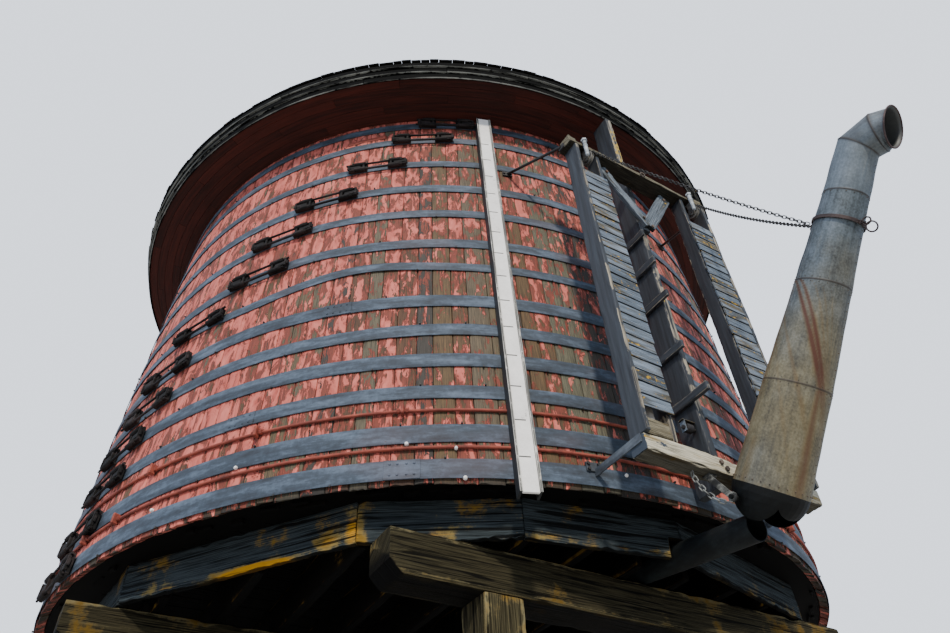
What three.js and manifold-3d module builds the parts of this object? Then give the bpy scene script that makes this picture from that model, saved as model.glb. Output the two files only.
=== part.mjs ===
// Railway water tank with a counterweighted filling spout.
// Millimetres, +Z up. The spout points towards -Y. All lengths below are measured from the tank's
// upright axis on the ground; the whole tower is then moved so that the origin is the middle of its base.
import * as THREE from 'three';
import { mergeVertices } from 'three/addons/utils/BufferGeometryUtils.js';
import Module from 'manifold-3d';

const wasm = await Module();
wasm.setup();

// Driving dimensions
const FIT = 0.3;
const AXIS_Y = 1078;

const SIDES = 48;
const STAVE_FOOT = 4090;
const STAVE_HEAD = 8840;
const STAVE_THICK = 70;
const RADIUS_AT_GROUND = 3939;
const BATTER = 0.05684;

const TIMBER = 300;
const CAP_TOP = 3838;
const CAP_BEVEL = 80;
const OUTER_BENT_Y = 2920;
const INNER_BENT_Y = 1030;
const OUTER_CAP_LENGTH = 4100;
const INNER_CAP_LENGTH = 7180;
const OUTER_POSTS_X = [-1250, 1250];
const INNER_POSTS_X = [-2750, -950, 950, 2750];

const JOIST_WIDTH = 76;
const JOIST_SPACING = 460;
const JOISTS_PER_SIDE = 7;
const RIM_RADIUS = 3480;
const RIM_PLANK = 50;
const RIM_CORNERS_DEG = [-166, -134, -102, -70, -38, -20, 0, 28, 58, 90, 120, 150, 172];
const FLOOR_FOOT = 4140;
const FLOOR_THICK = 76;
const PIPE_NOTCH_HALF = 110;
const PIPE_NOTCH_TALL = 160;

// Flat hoops, from the top down: height of the lower edge, width, and the flat where the lugs sit
const HOOP_THICK = 6;
const LUG_SIZE = { tall: 110, deep: 55, long: 430 };
const HOOPS = [
  [8653, 112, -4], [8340, 104, -5], [7879, 98, -6], [7421, 112, -7], [7011, 106, -8], [6540, 116, -8],
  [6213, 98, -9], [5775, 132, -10], [5430, 122, -10], [5113, 132, -10], [4797, 120, -11], [4419, 150, -11],
  [4132, 150, -11],
];
const RODS = [[4687, -10], [4370, -11]];
const ROD_RADIUS = 12;
const CLAMP_SIZE = { tall: 40, deep: 40, long: 160 };

const ROOF_RADIUS = 4012;
const ROOF_EDGE = 9134;
const ROOF_PITCH = 0.5;
const ROOF_DECK = 40;
const SOFFIT_RADIUS = 3920;
const SOFFIT_INSIDE = 3362;
const SOFFIT_BEND = 3440;
const SOFFIT_THICK = 24;
const BLOCKING = [3400, 3500];
const FASCIA_FOOT = 8876;
const FASCIA_STEP = 24;

const GAUGE_AZIMUTH_DEG = -20.47;
const GAUGE_FOOT = 3960;
const GAUGE_HEAD = 8730;
const GAUGE_WIDTH = 150;
const GAUGE_STANDOFF = 120;
const GAUGE_RAIL = 22;

// Spout frame: a lower beam, a mast with cleats, a top plank and two boxes for the counterweights
const FRAME_HALF = 810;
const FRAME_FRONT = -4150;
const BEAM_FRONT = -4120;
const MAST_FRONT = -3970;
const BEAM_FOOT = 4130;
const BEAM_HEAD = 4260;
const BOX_DEPTH = 165;
const BOX_WIDTH = 300;
const BOARD = 40;
const BOX_HEAD = 7500;
const SLAT_FOOT = 4460;
const SLAT_HEAD = 7120;
const SLAT_THICK = 24;
const MAST_DEPTH = 225;
const MAST_THICK = 80;
const MAST_FOOT = 4150;
const MAST_HEAD = 8800;
const TOP_PLANK_HALF = 860;
const TOP_PLANK_THICK = 52;
// Cleats: height of the middle, and how far the end stands in front of the mast
const CLEATS = [[6770, 40], [6375, 70], [5937, 90], [5377, 80], [4890, 180]];
const CLEAT_THICK = 35;
const CLEAT_HALF = 38;
// V brace: the foot of both planks, and [x at the head, half the width] of each
const BRACE_FRONT = -4062;
const BRACE_THICK = 45;
const BRACE_FOOT = 6830;
const BRACE_HEAD = 7620;
const BRACE_PLANKS = [[-500, 55], [430, 75]];

// Spout: hinge, lean of the raised spout, and [distance along the spout, radius] of its seams
const HINGE = [0, -4197.5, 3892];
const LEAN_DEG = 41;
const BASE_AHEAD = 111;
const BASE_BELOW = 42;
const SEAMS = [[0, 236.5], [677, 212.5], [1363, 177], [1800, 158], [2000, 146.5], [2335, 138]];
// Elbow joints: distance in front of the barrel's middle and along the spout, tilt, radius and stretch
const ELBOW = [
  [0, 2356, 21, 138, 1.07], [115, 2451, 60, 138, 1.08], [180, 2479, 84, 129, 1], [206, 2486, 84, 146, 1],
];
// How far the elbow is soldered on askew, turned about the spout towards +X
const ELBOW_SWING_DEG = 12;
const SPOUT_SHEET = 3;
const BARREL_SIDES = 20;
const COLLAR_AT = 1800;
// The boot's slot, from the bowl's middle: half its width, and its reach to the front and to the rear
const SLOT_HALF = 105;
const SLOT_FRONT = 184;
const SLOT_REAR = 152;

const SHEAVE_X = 660;
const SHEAVE_Y = -4120;
const SHEAVE_Z = 7365;
const SHEAVE_RADIUS = 73;
const WEIGHT_RADIUS = 52;
const WEIGHT_LENGTH = 400;
const WEIGHT_FOOT = 4400;

const PIPE_RADIUS = 92;
const PIPE_WALL = 6;
const PIPE_MOUTH = [0, -4113, 3785];
const PIPE_SLOPE = 0.15;
const PIPE_DROP_Y = -2450;

// Finishes
function finish(color, roughness, metalness = 0) {
  return () => new THREE.MeshStandardMaterial({ color, roughness, metalness });
}
const tarredTimber = finish(0x3a2f27, 0.9);
const weatheredTimber = finish(0x8c8577, 0.9);
const slatePaint = finish(0x3c4147, 0.7);
const redPaint = finish(0x8a3f33, 0.8);
const soffitPaint = finish(0x4a2320, 0.8);
const shingle = finish(0x23201e, 0.95);
const hoopSteel = finish(0x49535e, 0.55, 0.6);
const whiteBoard = finish(0xdfe0de, 0.6);
const galvanised = finish(0x9a9489, 0.5, 0.7);
const blackIron = finish(0x2b2d30, 0.6, 0.7);

const tower = new THREE.Group();
tower.position.y = AXIS_Y;

function addPiece(name, geometry, material, parent = tower) {
  const mesh = new THREE.Mesh(geometry, material());
  mesh.name = name;
  parent.add(mesh);
  return mesh;
}

// Solids: a closed geometry becomes a solid for a join or a cut, and comes back as a geometry

function signedVolume(position, index) {
  const a = new THREE.Vector3();
  const b = new THREE.Vector3();
  const c = new THREE.Vector3();
  let six = 0;
  for (let i = 0; i < index.count; i += 3) {
    a.fromBufferAttribute(position, index.getX(i));
    b.fromBufferAttribute(position, index.getX(i + 1));
    c.fromBufferAttribute(position, index.getX(i + 2));
    six += a.dot(b.cross(c));
  }
  return six / 6;
}

function closed(geometry) {
  const bare = geometry.clone();
  bare.deleteAttribute('normal');
  bare.deleteAttribute('uv');
  const merged = mergeVertices(bare, 1e-3);
  if (signedVolume(merged.attributes.position, merged.index) < 0) {
    const turned = Array.from(merged.index.array);
    for (let i = 0; i < turned.length; i += 3) {
      [turned[i + 1], turned[i + 2]] = [turned[i + 2], turned[i + 1]];
    }
    merged.setIndex(turned);
  }
  return merged;
}

function solid(geometry) {
  const shell = closed(geometry);
  return new wasm.Manifold(new wasm.Mesh({
    numProp: 3,
    vertProperties: Float32Array.from(shell.attributes.position.array),
    triVerts: Uint32Array.from(shell.index.array),
  }));
}

function geometryOf(body) {
  const mesh = body.getMesh();
  const geometry = new THREE.BufferGeometry();
  geometry.setAttribute('position', new THREE.BufferAttribute(Float32Array.from(mesh.vertProperties), 3));
  geometry.setIndex(Array.from(mesh.triVerts));
  geometry.computeVertexNormals();
  return geometry;
}

function joined(...geometries) {
  return geometryOf(geometries.map(solid).reduce((whole, next) => whole.add(next)));
}

// A box given by its lowest and highest corners
function block(low, high) {
  const geometry = new THREE.BoxGeometry(high[0] - low[0], high[1] - low[1], high[2] - low[2]);
  return geometry.translate((low[0] + high[0]) / 2, (low[1] + high[1]) / 2, (low[2] + high[2]) / 2);
}

// A round bar between two points
function bar(from, to, radius, sides = 10) {
  const start = new THREE.Vector3(...from);
  const end = new THREE.Vector3(...to);
  const geometry = new THREE.CylinderGeometry(radius, radius, start.distanceTo(end), sides);
  const turn = new THREE.Quaternion().setFromUnitVectors(
    new THREE.Vector3(0, 1, 0), end.clone().sub(start).normalize());
  const middle = start.clone().add(end).multiplyScalar(0.5);
  return geometry.applyMatrix4(new THREE.Matrix4().compose(middle, turn, new THREE.Vector3(1, 1, 1)));
}

// A disc or short drum whose axis runs along X
function drumAlongX(centre, radius, width, sides = 24) {
  return new THREE.CylinderGeometry(radius, radius, width, sides).rotateZ(Math.PI / 2).translate(...centre);
}

// A ring of SIDES flats round the tank's axis, from a closed profile of [radius, height]
const ROUND_UP = 1.001;
function ring(profile) {
  const points = profile.map(([radius, height]) => new THREE.Vector2(radius * ROUND_UP, height));
  points.push(points[0].clone());
  return closed(new THREE.LatheGeometry(points, SIDES).rotateX(Math.PI / 2));
}

const staveRadius = (height) => RADIUS_AT_GROUND - BATTER * height;

// Sets a piece, built facing -Y with the wall's face at Y = 0, on the sloping flat at an azimuth
const SIDE_DEG = 360 / SIDES;
const flatDistance = (height) => staveRadius(height) * ROUND_UP * Math.cos(Math.PI / SIDES);
function onWall(geometry, height, azimuthDeg) {
  const side = Math.floor(azimuthDeg / SIDE_DEG);
  const middle = (side + 0.5) * SIDE_DEG;
  const along = Math.tan(THREE.MathUtils.degToRad(azimuthDeg - middle)) * flatDistance(height);
  return geometry.rotateX(-Math.atan(BATTER)).translate(along, -flatDistance(height), height)
    .rotateZ(THREE.MathUtils.degToRad(middle));
}

// Trestle bents: a cap timber with bevelled lower corners over square posts, one solid each

function bent(length, postsX, y) {
  const half = length / 2;
  const foot = CAP_TOP - TIMBER - FIT;
  const head = CAP_TOP - FIT;
  const outline = new THREE.Shape();
  outline.moveTo(-half + CAP_BEVEL, foot);
  outline.lineTo(half - CAP_BEVEL, foot);
  outline.lineTo(half, foot + CAP_BEVEL);
  outline.lineTo(half, head);
  outline.lineTo(-half, head);
  outline.lineTo(-half, foot + CAP_BEVEL);
  const cap = new THREE.ExtrudeGeometry(outline, { depth: TIMBER, bevelEnabled: false })
    .rotateX(Math.PI / 2).translate(0, y + TIMBER / 2, 0);
  const posts = postsX.map((x) => block(
    [x - TIMBER / 2, y - TIMBER / 2, 0], [x + TIMBER / 2, y + TIMBER / 2, foot + 1]));
  return joined(cap, ...posts);
}

addPiece('bent_outer_front', bent(OUTER_CAP_LENGTH, OUTER_POSTS_X, -OUTER_BENT_Y), tarredTimber);
addPiece('bent_inner_front', bent(INNER_CAP_LENGTH, INNER_POSTS_X, -INNER_BENT_Y), tarredTimber);
addPiece('bent_inner_rear', bent(INNER_CAP_LENGTH, INNER_POSTS_X, INNER_BENT_Y), tarredTimber);
addPiece('bent_outer_rear', bent(OUTER_CAP_LENGTH, OUTER_POSTS_X, OUTER_BENT_Y), tarredTimber);

// Joists on the caps, closed all round by rim planks, with a notch for the outlet pipe

function rimPrism(radius, low, high) {
  const corners = RIM_CORNERS_DEG.map((deg) => {
    const turn = THREE.MathUtils.degToRad(deg);
    return new THREE.Vector2(radius * Math.sin(turn), -radius * Math.cos(turn));
  });
  return new THREE.ExtrudeGeometry(new THREE.Shape(corners), { depth: high - low, bevelEnabled: false })
    .translate(0, 0, low);
}

function joistFrame() {
  const low = CAP_TOP;
  const high = FLOOR_FOOT - FIT;
  const rim = solid(rimPrism(RIM_RADIUS, low, high))
    .subtract(solid(rimPrism(RIM_RADIUS - RIM_PLANK, low - 1, high + 1)));
  const within = solid(rimPrism(RIM_RADIUS - RIM_PLANK / 2, low, high));
  let frame = rim;
  for (let i = -JOISTS_PER_SIDE; i < JOISTS_PER_SIDE; i += 1) {
    const x = (i + 0.5) * JOIST_SPACING;
    const joist = block(
      [x - JOIST_WIDTH / 2, -RIM_RADIUS, low], [x + JOIST_WIDTH / 2, RIM_RADIUS, high]);
    frame = frame.add(solid(joist).intersect(within));
  }
  const past = 4 * RIM_PLANK;
  const notch = block([-PIPE_NOTCH_HALF, -RIM_RADIUS - past, low - 1],
    [PIPE_NOTCH_HALF, -RIM_RADIUS + past, low + PIPE_NOTCH_TALL]);
  return geometryOf(frame.subtract(solid(notch)));
}
addPiece('joist_frame', joistFrame(), tarredTimber);

// Tank floor, set inside the staves just above their lower ends

const floorRadius = staveRadius(FLOOR_FOOT + FLOOR_THICK) - STAVE_THICK - 2 * FIT;
const floor = new THREE.LatheGeometry([
  new THREE.Vector2(0, FLOOR_FOOT), new THREE.Vector2(floorRadius * ROUND_UP, FLOOR_FOOT),
  new THREE.Vector2(floorRadius * ROUND_UP, FLOOR_FOOT + FLOOR_THICK),
  new THREE.Vector2(0, FLOOR_FOOT + FLOOR_THICK),
], SIDES).rotateX(Math.PI / 2);
addPiece('tank_floor', closed(floor), tarredTimber);

// Stave wall, hollow, in six equal parts cut apart in the middle of a flat

const WALL_PARTS = 6;
const wholeWall = solid(ring([
  [staveRadius(STAVE_FOOT) - STAVE_THICK, STAVE_FOOT], [staveRadius(STAVE_FOOT), STAVE_FOOT],
  [staveRadius(STAVE_HEAD), STAVE_HEAD], [staveRadius(STAVE_HEAD) - STAVE_THICK, STAVE_HEAD],
]));
for (let i = 0; i < WALL_PARTS; i += 1) {
  const reach = 2 * RADIUS_AT_GROUND;
  const half = Math.PI / WALL_PARTS;
  const wedge = new THREE.Shape();
  wedge.moveTo(0, -FIT);
  wedge.lineTo(reach * Math.sin(half), -FIT - reach * Math.cos(half));
  wedge.lineTo(-reach * Math.sin(half), -FIT - reach * Math.cos(half));
  const sector = new THREE.ExtrudeGeometry(wedge, { depth: STAVE_HEAD, bevelEnabled: false })
    .translate(0, 0, STAVE_FOOT / 2)
    .rotateZ(i * 2 * half + THREE.MathUtils.degToRad(SIDE_DEG / 2));
  addPiece(`stave_wall_${i + 1}`, geometryOf(wholeWall.intersect(solid(sector))), redPaint);
}

// Hoops: flat steel bands, each drawn tight at a pair of lugs, and two round rods low down

function lug(height, { tall, deep, long }, side) {
  const inside = FIT + 2;
  const plate = block([-long / 2, -inside - deep, -tall / 2], [long / 2, -inside, tall / 2]);
  return onWall(plate, height, (side + 0.5) * SIDE_DEG);
}

HOOPS.forEach(([low, width, side], i) => {
  const inside = (height) => staveRadius(height) + FIT;
  const band = ring([
    [inside(low), low], [inside(low) + HOOP_THICK, low],
    [inside(low + width) + HOOP_THICK, low + width], [inside(low + width), low + width],
  ]);
  const lugs = lug(low + width / 2, LUG_SIZE, side);
  addPiece(`hoop_${String(i + 1).padStart(2, '0')}`, joined(band, lugs), hoopSteel);
});

RODS.forEach(([height, side], i) => {
  const middle = staveRadius(height) + ROD_RADIUS + 2 * FIT;
  const profile = [0, 1, 2, 3, 4, 5].map((k) => [
    middle + ROD_RADIUS * Math.cos(k * Math.PI / 3), height + ROD_RADIUS * Math.sin(k * Math.PI / 3)]);
  addPiece(`rod_hoop_${i + 1}`, joined(ring(profile), lug(height, CLAMP_SIZE, side)), redPaint);
});

// Eaves and roof: boarded soffit on the wall's head, stepped fascia, and a shingled cone with the
// ring of blocking that stands on the wall

const SOFFIT_RISE = 0.07;
const soffitTop = (radius) => STAVE_HEAD + 26 + (radius - SOFFIT_BEND) * SOFFIT_RISE;
addPiece('eave_soffit', ring([
  [SOFFIT_INSIDE, STAVE_HEAD + FIT], [SOFFIT_BEND, STAVE_HEAD + FIT], [SOFFIT_RADIUS - FIT, FASCIA_FOOT],
  [SOFFIT_RADIUS - FIT, FASCIA_FOOT + SOFFIT_THICK], [SOFFIT_BEND, soffitTop(SOFFIT_BEND)],
  [SOFFIT_INSIDE, soffitTop(SOFFIT_BEND)],
]), soffitPaint);

const peak = ROOF_EDGE + ROOF_PITCH * ROOF_RADIUS;
const deckFoot = (radius) => peak - ROOF_DECK - ROOF_PITCH * radius;
const steps = [0, 1, 2].map((k) => SOFFIT_RADIUS + 20 + k * FASCIA_STEP);
const stepHeights = [FASCIA_FOOT - 10, 8952, 9028];
addPiece('eave_fascia', ring([
  [SOFFIT_RADIUS, stepHeights[0]], [steps[0], stepHeights[0]], [steps[0], stepHeights[1]],
  [steps[1], stepHeights[1]], [steps[1], stepHeights[2]], [steps[2], stepHeights[2]],
  [steps[2], deckFoot(steps[2]) - FIT], [SOFFIT_RADIUS, deckFoot(SOFFIT_RADIUS) - FIT],
]), slatePaint);

const roofProfile = [
  [0, peak], [ROOF_RADIUS, ROOF_EDGE], [ROOF_RADIUS, deckFoot(ROOF_RADIUS)],
  [BLOCKING[1], deckFoot(BLOCKING[1])], [BLOCKING[1], soffitTop(BLOCKING[1]) + FIT],
  [BLOCKING[0], soffitTop(BLOCKING[1]) + FIT], [BLOCKING[0], deckFoot(BLOCKING[0])], [0, peak - ROOF_DECK],
].map(([radius, height]) => new THREE.Vector2(radius * ROUND_UP, height));
addPiece('roof', closed(new THREE.LatheGeometry(roofProfile, SIDES).rotateX(Math.PI / 2)), shingle);

// Gauge board: a white board between two rails that stand on the hoops, leaning with the wall

function gaugeBoard() {
  const clear = HOOP_THICK + 2 * FIT;
  const length = GAUGE_HEAD - GAUGE_FOOT;
  const half = GAUGE_WIDTH / 2;
  const channel = joined(
    block([-half, -GAUGE_STANDOFF, 0], [half, -GAUGE_STANDOFF + GAUGE_RAIL, length]),
    block([-half, -GAUGE_STANDOFF + 1, 0], [-half + GAUGE_RAIL, -clear, length]),
    block([half - GAUGE_RAIL, -GAUGE_STANDOFF + 1, 0], [half, -clear, length]));
  const [below, above] = [ROD_RADIUS + 4, ROD_RADIUS + 6];
  const notches = RODS.map(([height]) => solid(block(
    [-half - 1, -below - above + 5, height - GAUGE_FOOT - below],
    [half + 1, 0, height - GAUGE_FOOT + above])));
  const notched = notches.reduce((whole, notch) => whole.subtract(notch), solid(channel));
  return onWall(geometryOf(notched), GAUGE_FOOT, GAUGE_AZIMUTH_DEG);
}
addPiece('gauge_board', gaugeBoard(), whiteBoard);

// Spout frame

const boardBack = FRAME_FRONT + BOX_DEPTH;
const beam = block([-FRAME_HALF, BEAM_FRONT, BEAM_FOOT], [FRAME_HALF, MAST_FRONT - FIT, BEAM_HEAD]);
addPiece('frame_beam', beam, weatheredTimber);

const mastBack = MAST_FRONT + MAST_DEPTH;
const cleats = CLEATS.map(([height, ahead]) => block(
  [-MAST_THICK / 2 - CLEAT_THICK, MAST_FRONT - ahead, height - CLEAT_HALF],
  [-MAST_THICK / 2 + 1, mastBack, height + CLEAT_HALF]));
const mast = block([-MAST_THICK / 2, MAST_FRONT, MAST_FOOT], [MAST_THICK / 2, mastBack, MAST_HEAD]);
addPiece('ladder_mast', joined(mast, ...cleats), slatePaint);

const topPlank = block([-TOP_PLANK_HALF, FRAME_FRONT, BOX_HEAD + FIT],
  [TOP_PLANK_HALF, MAST_FRONT - FIT, BOX_HEAD + TOP_PLANK_THICK]);
addPiece('frame_top_plank', topPlank, weatheredTimber);

// Counterweight box: outer board, inner board, a slatted front and a stop block, open to the tank
function weightBox(side) {
  const out = side * FRAME_HALF;
  const inn = side * (FRAME_HALF - BOX_WIDTH);
  const low = BEAM_HEAD + FIT;
  const span = (a, b) => [Math.min(a, b), Math.max(a, b)];
  const [outLow, outHigh] = span(out, out - side * BOARD);
  const [innLow, innHigh] = span(inn, inn + side * BOARD);
  const [slatLow, slatHigh] = span(out - side, inn);
  const [stopLow, stopHigh] = span(out - side * (BOARD - 1), inn + side * (BOARD - 1));
  return joined(
    block([stopLow, FRAME_FRONT + 2 * SLAT_THICK, low], [stopHigh, boardBack - 5, WEIGHT_FOOT - FIT]),
    block([outLow, FRAME_FRONT, low], [outHigh, boardBack, BOX_HEAD]),
    block([innLow, FRAME_FRONT + SLAT_THICK / 2, low], [innHigh, boardBack, BOX_HEAD]),
    block([slatLow, FRAME_FRONT, SLAT_FOOT], [slatHigh, FRAME_FRONT + SLAT_THICK, SLAT_HEAD]));
}
addPiece('left_weight_box', weightBox(-1), slatePaint);
addPiece('right_weight_box', weightBox(1), slatePaint);

// V brace of two planks from the mast's front up to the top plank
function vBrace() {
  const plank = ([headX, half]) => {
    const run = new THREE.Vector2(headX, BRACE_HEAD - BRACE_FOOT).normalize();
    const across = new THREE.Vector2(-run.y, run.x).multiplyScalar(half);
    const corner = (x, z, sign) => new THREE.Vector2(x + sign * across.x, z + sign * across.y);
    const outline = new THREE.Shape([
      corner(0, BRACE_FOOT, 1), corner(0, BRACE_FOOT, -1),
      corner(headX, BRACE_HEAD, -1), corner(headX, BRACE_HEAD, 1)]);
    return new THREE.ExtrudeGeometry(outline, { depth: BRACE_THICK, bevelEnabled: false })
      .rotateX(Math.PI / 2).translate(0, BRACE_FRONT + BRACE_THICK, 0);
  };
  const [left, right] = BRACE_PLANKS.map((values) => solid(plank(values)));
  const belowPlank = block([-FRAME_HALF, FRAME_FRONT, SLAT_FOOT], [FRAME_HALF, MAST_FRONT, BOX_HEAD - 2]);
  const packing = solid(block([-MAST_THICK / 2, BRACE_FRONT + BRACE_THICK - 5, BRACE_FOOT - 18],
    [MAST_THICK / 2, MAST_FRONT - FIT, BRACE_FOOT + 120]));
  return geometryOf(left.add(right).intersect(solid(belowPlank)).add(packing));
}
addPiece('v_brace', vBrace(), weatheredTimber);

// Iron stays from pads on the tank wall: straps to the beam's ends and bars to the top plank
const mirrored = (geometry) => closed(geometry.clone().scale(-1, 1, 1));

// Each pad: height and azimuth on the wall, half its width, half its height and its thickness
const STRAP_PAD = { height: 4272, azimuth: 12.83, half: 55, rise: 36, thick: 16 };
const STRAP_TALL = 60;
const STRAP_THICK = 10;
const BAR_PAD = { height: 7830, azimuth: 17, half: 50, rise: 32, thick: 20 };
const BAR_RADIUS = 14;
const BAR_TAB = { front: -4060, back: -3990, thick: 18, tall: 58 };

function stayPad({ height, azimuth, half, rise, thick }, inside) {
  return onWall(block([-half, -inside - thick, -rise], [half, -inside, rise]), height, azimuth);
}

function strapStay() {
  const padFace = HOOP_THICK + 2 * FIT;
  const turn = THREE.MathUtils.degToRad(STRAP_PAD.azimuth);
  const wallEnd = -(flatDistance(STRAP_PAD.height) + padFace + 0.75 * STRAP_PAD.thick) * Math.cos(turn);
  const strap = block([FRAME_HALF + FIT, BEAM_FRONT + 30, BEAM_HEAD - STRAP_TALL],
    [FRAME_HALF + FIT + STRAP_THICK, wallEnd, BEAM_HEAD]);
  return joined(stayPad(STRAP_PAD, padFace), strap);
}

function barStay() {
  const turn = THREE.MathUtils.degToRad(BAR_PAD.azimuth);
  const wallEnd = flatDistance(BAR_PAD.height) + FIT + 0.8 * BAR_PAD.thick;
  const plankEnd = TOP_PLANK_HALF + FIT;
  const tab = block([plankEnd, BAR_TAB.front, BOX_HEAD + 2],
    [plankEnd + BAR_TAB.thick, BAR_TAB.back, BOX_HEAD + 2 + BAR_TAB.tall]);
  const rod = bar([plankEnd + BAR_TAB.thick - 2, -4020, BOX_HEAD + BAR_TAB.tall / 2 + 6],
    [wallEnd * Math.sin(turn), -wallEnd * Math.cos(turn), BAR_PAD.height], BAR_RADIUS);
  return joined(stayPad(BAR_PAD, FIT), tab, rod);
}

addPiece('right_strap_stay', strapStay(), blackIron);
addPiece('left_strap_stay', mirrored(strapStay()), blackIron);
addPiece('right_bar_stay', barStay(), blackIron);
addPiece('left_bar_stay', mirrored(barStay()), blackIron);

// Sheaves under the top plank, each on a pin through an iron fork

const SHEAVE_BORE = 11;
const PIN_RADIUS = 10.4;
const SHEAVE_WIDTH = 34;
const GROOVE_RADIUS = 56;
const GROOVE_LIP = 4;
const FORK_CLEAR = 5;
const FORK_THICK = 7;
const FORK_HALF = 30;
const CROWN_THICK = 14;
function sheave() {
  const half = SHEAVE_WIDTH / 2;
  const profile = [
    [SHEAVE_BORE, -half], [SHEAVE_RADIUS, -half], [SHEAVE_RADIUS, -half + GROOVE_LIP], [GROOVE_RADIUS, 0],
    [SHEAVE_RADIUS, half - GROOVE_LIP], [SHEAVE_RADIUS, half], [SHEAVE_BORE, half], [SHEAVE_BORE, -half],
  ].map(([radius, along]) => new THREE.Vector2(radius, along));
  return closed(new THREE.LatheGeometry(profile, 32).rotateZ(Math.PI / 2));
}

function sheaveFork(side) {
  const inner = SHEAVE_WIDTH / 2 + FORK_CLEAR;
  const outer = inner + FORK_THICK;
  const top = BOX_HEAD - SHEAVE_Z;
  const cheek = (x0, x1) => block(
    [x0, -FORK_HALF, -1.5 * FORK_HALF], [x1, FORK_HALF, top - CROWN_THICK / 2]);
  const crown = block([-outer, -FORK_HALF, top - CROWN_THICK], [outer, 1.5 * FORK_HALF, top]);
  const pin = drumAlongX([0, 0, 0], PIN_RADIUS, 2 * outer + 8, 24);
  return joined(cheek(-outer, -inner), cheek(inner, outer), crown, pin)
    .translate(side * SHEAVE_X, SHEAVE_Y, SHEAVE_Z);
}

for (const [word, side] of [['left', -1], ['right', 1]]) {
  addPiece(`${word}_sheave_fork`, sheaveFork(side), blackIron);
  addPiece(`${word}_sheave`, sheave(), blackIron).position.set(side * SHEAVE_X, SHEAVE_Y, SHEAVE_Z);
}

// Counterweights: cast cylinders with an eye on top, each on its chain inside its box

const CHAIN_RADIUS = 9;
const CHAIN_RUN = SHEAVE_RADIUS + 6;
const chainY = SHEAVE_Y + CHAIN_RUN;
const weightHead = WEIGHT_FOOT + WEIGHT_LENGTH;
const STEM_RADIUS = 12;
const STEM_LENGTH = 55;
function counterweight() {
  const body = new THREE.CylinderGeometry(WEIGHT_RADIUS, WEIGHT_RADIUS, WEIGHT_LENGTH, 24)
    .rotateX(Math.PI / 2).translate(0, 0, WEIGHT_FOOT + WEIGHT_LENGTH / 2);
  const stem = new THREE.CylinderGeometry(STEM_RADIUS, STEM_RADIUS, STEM_LENGTH + 5, 12)
    .rotateX(Math.PI / 2).translate(0, 0, weightHead + (STEM_LENGTH - 5) / 2);
  return joined(body, stem);
}

// A chain stands as a plain round bar of its outer width along its route
function chainAlong(points, name) {
  const route = new THREE.CatmullRomCurve3(points.map((p) => new THREE.Vector3(...p)), false, 'centripetal');
  const section = new THREE.Shape();
  for (let i = 0; i < 6; i += 1) {
    const turn = i * Math.PI / 3;
    section[i ? 'lineTo' : 'moveTo'](CHAIN_RADIUS * Math.cos(turn), CHAIN_RADIUS * Math.sin(turn));
  }
  const geometry = new THREE.ExtrudeGeometry(section, {
    steps: points.length * 2, bevelEnabled: false, extrudePath: route,
  });
  return addPiece(name, closed(geometry), blackIron);
}

for (const [word, side] of [['left', -1], ['right', 1]]) {
  addPiece(`${word}_counterweight`, counterweight(), blackIron).position.set(side * SHEAVE_X, chainY, 0);
  const foot = weightHead + STEM_LENGTH + FIT;
  const hanging = new THREE.CylinderGeometry(CHAIN_RADIUS, CHAIN_RADIUS, SHEAVE_Z - FIT - foot, 8)
    .rotateX(Math.PI / 2).translate(side * SHEAVE_X, chainY, (SHEAVE_Z - FIT + foot) / 2);
  addPiece(`${word}_weight_chain`, closed(hanging), blackIron);
}

// Spout: built upright in its own group, whose origin is the hinge and whose X axis is the hinge pin.
// In the group +Z runs up the raised spout and +Y faces the tank.

const spout = new THREE.Group();
spout.position.set(...HINGE);
spout.rotation.x = THREE.MathUtils.degToRad(LEAN_DEG);
tower.add(spout);

// A hollow sheet-metal tube through a list of stations: a centre [y, z], the tilt of the joint there
// and the outer radius. A tilted joint is drawn out so that the tube on each side stays round. The swing
// turns a joint about the spout's middle line, and its points are counted back by as much, so that the tube
// isn't twisted.
function sheetTube(stations, sheet, sides = BARREL_SIDES) {
  const rings = stations.map(({ centre, tilt, radius, stretch, swing = 0 }) => {
    const ringAt = (r) => Array.from({ length: sides }, (_, k) => {
      const turn = 2 * Math.PI * k / sides - swing;
      const across = r * stretch * Math.sin(turn);
      const x = r * Math.cos(turn);
      const y = centre[0] + across * Math.cos(tilt) + BASE_BELOW;
      return [
        x * Math.cos(swing) - y * Math.sin(swing),
        x * Math.sin(swing) + y * Math.cos(swing) - BASE_BELOW,
        centre[1] + across * Math.sin(tilt),
      ];
    });
    return [ringAt(radius), ringAt(radius - sheet)];
  });
  const vertices = rings.flat(2).flat();
  const at = (station, wall, k) => (station * 2 + wall) * sides + (k % sides);
  const index = [];
  const quad = (a, b, c, d) => index.push(a, b, c, a, c, d);
  for (let k = 0; k < sides; k += 1) {
    for (let i = 0; i + 1 < rings.length; i += 1) {
      quad(at(i, 0, k), at(i, 0, k + 1), at(i + 1, 0, k + 1), at(i + 1, 0, k));
      quad(at(i, 1, k + 1), at(i, 1, k), at(i + 1, 1, k), at(i + 1, 1, k + 1));
    }
    const last = rings.length - 1;
    quad(at(0, 0, k + 1), at(0, 0, k), at(0, 1, k), at(0, 1, k + 1));
    quad(at(last, 0, k), at(last, 0, k + 1), at(last, 1, k + 1), at(last, 1, k));
  }
  const geometry = new THREE.BufferGeometry();
  geometry.setAttribute('position', new THREE.Float32BufferAttribute(vertices, 3));
  geometry.setIndex(index);
  return closed(geometry);
}

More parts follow.
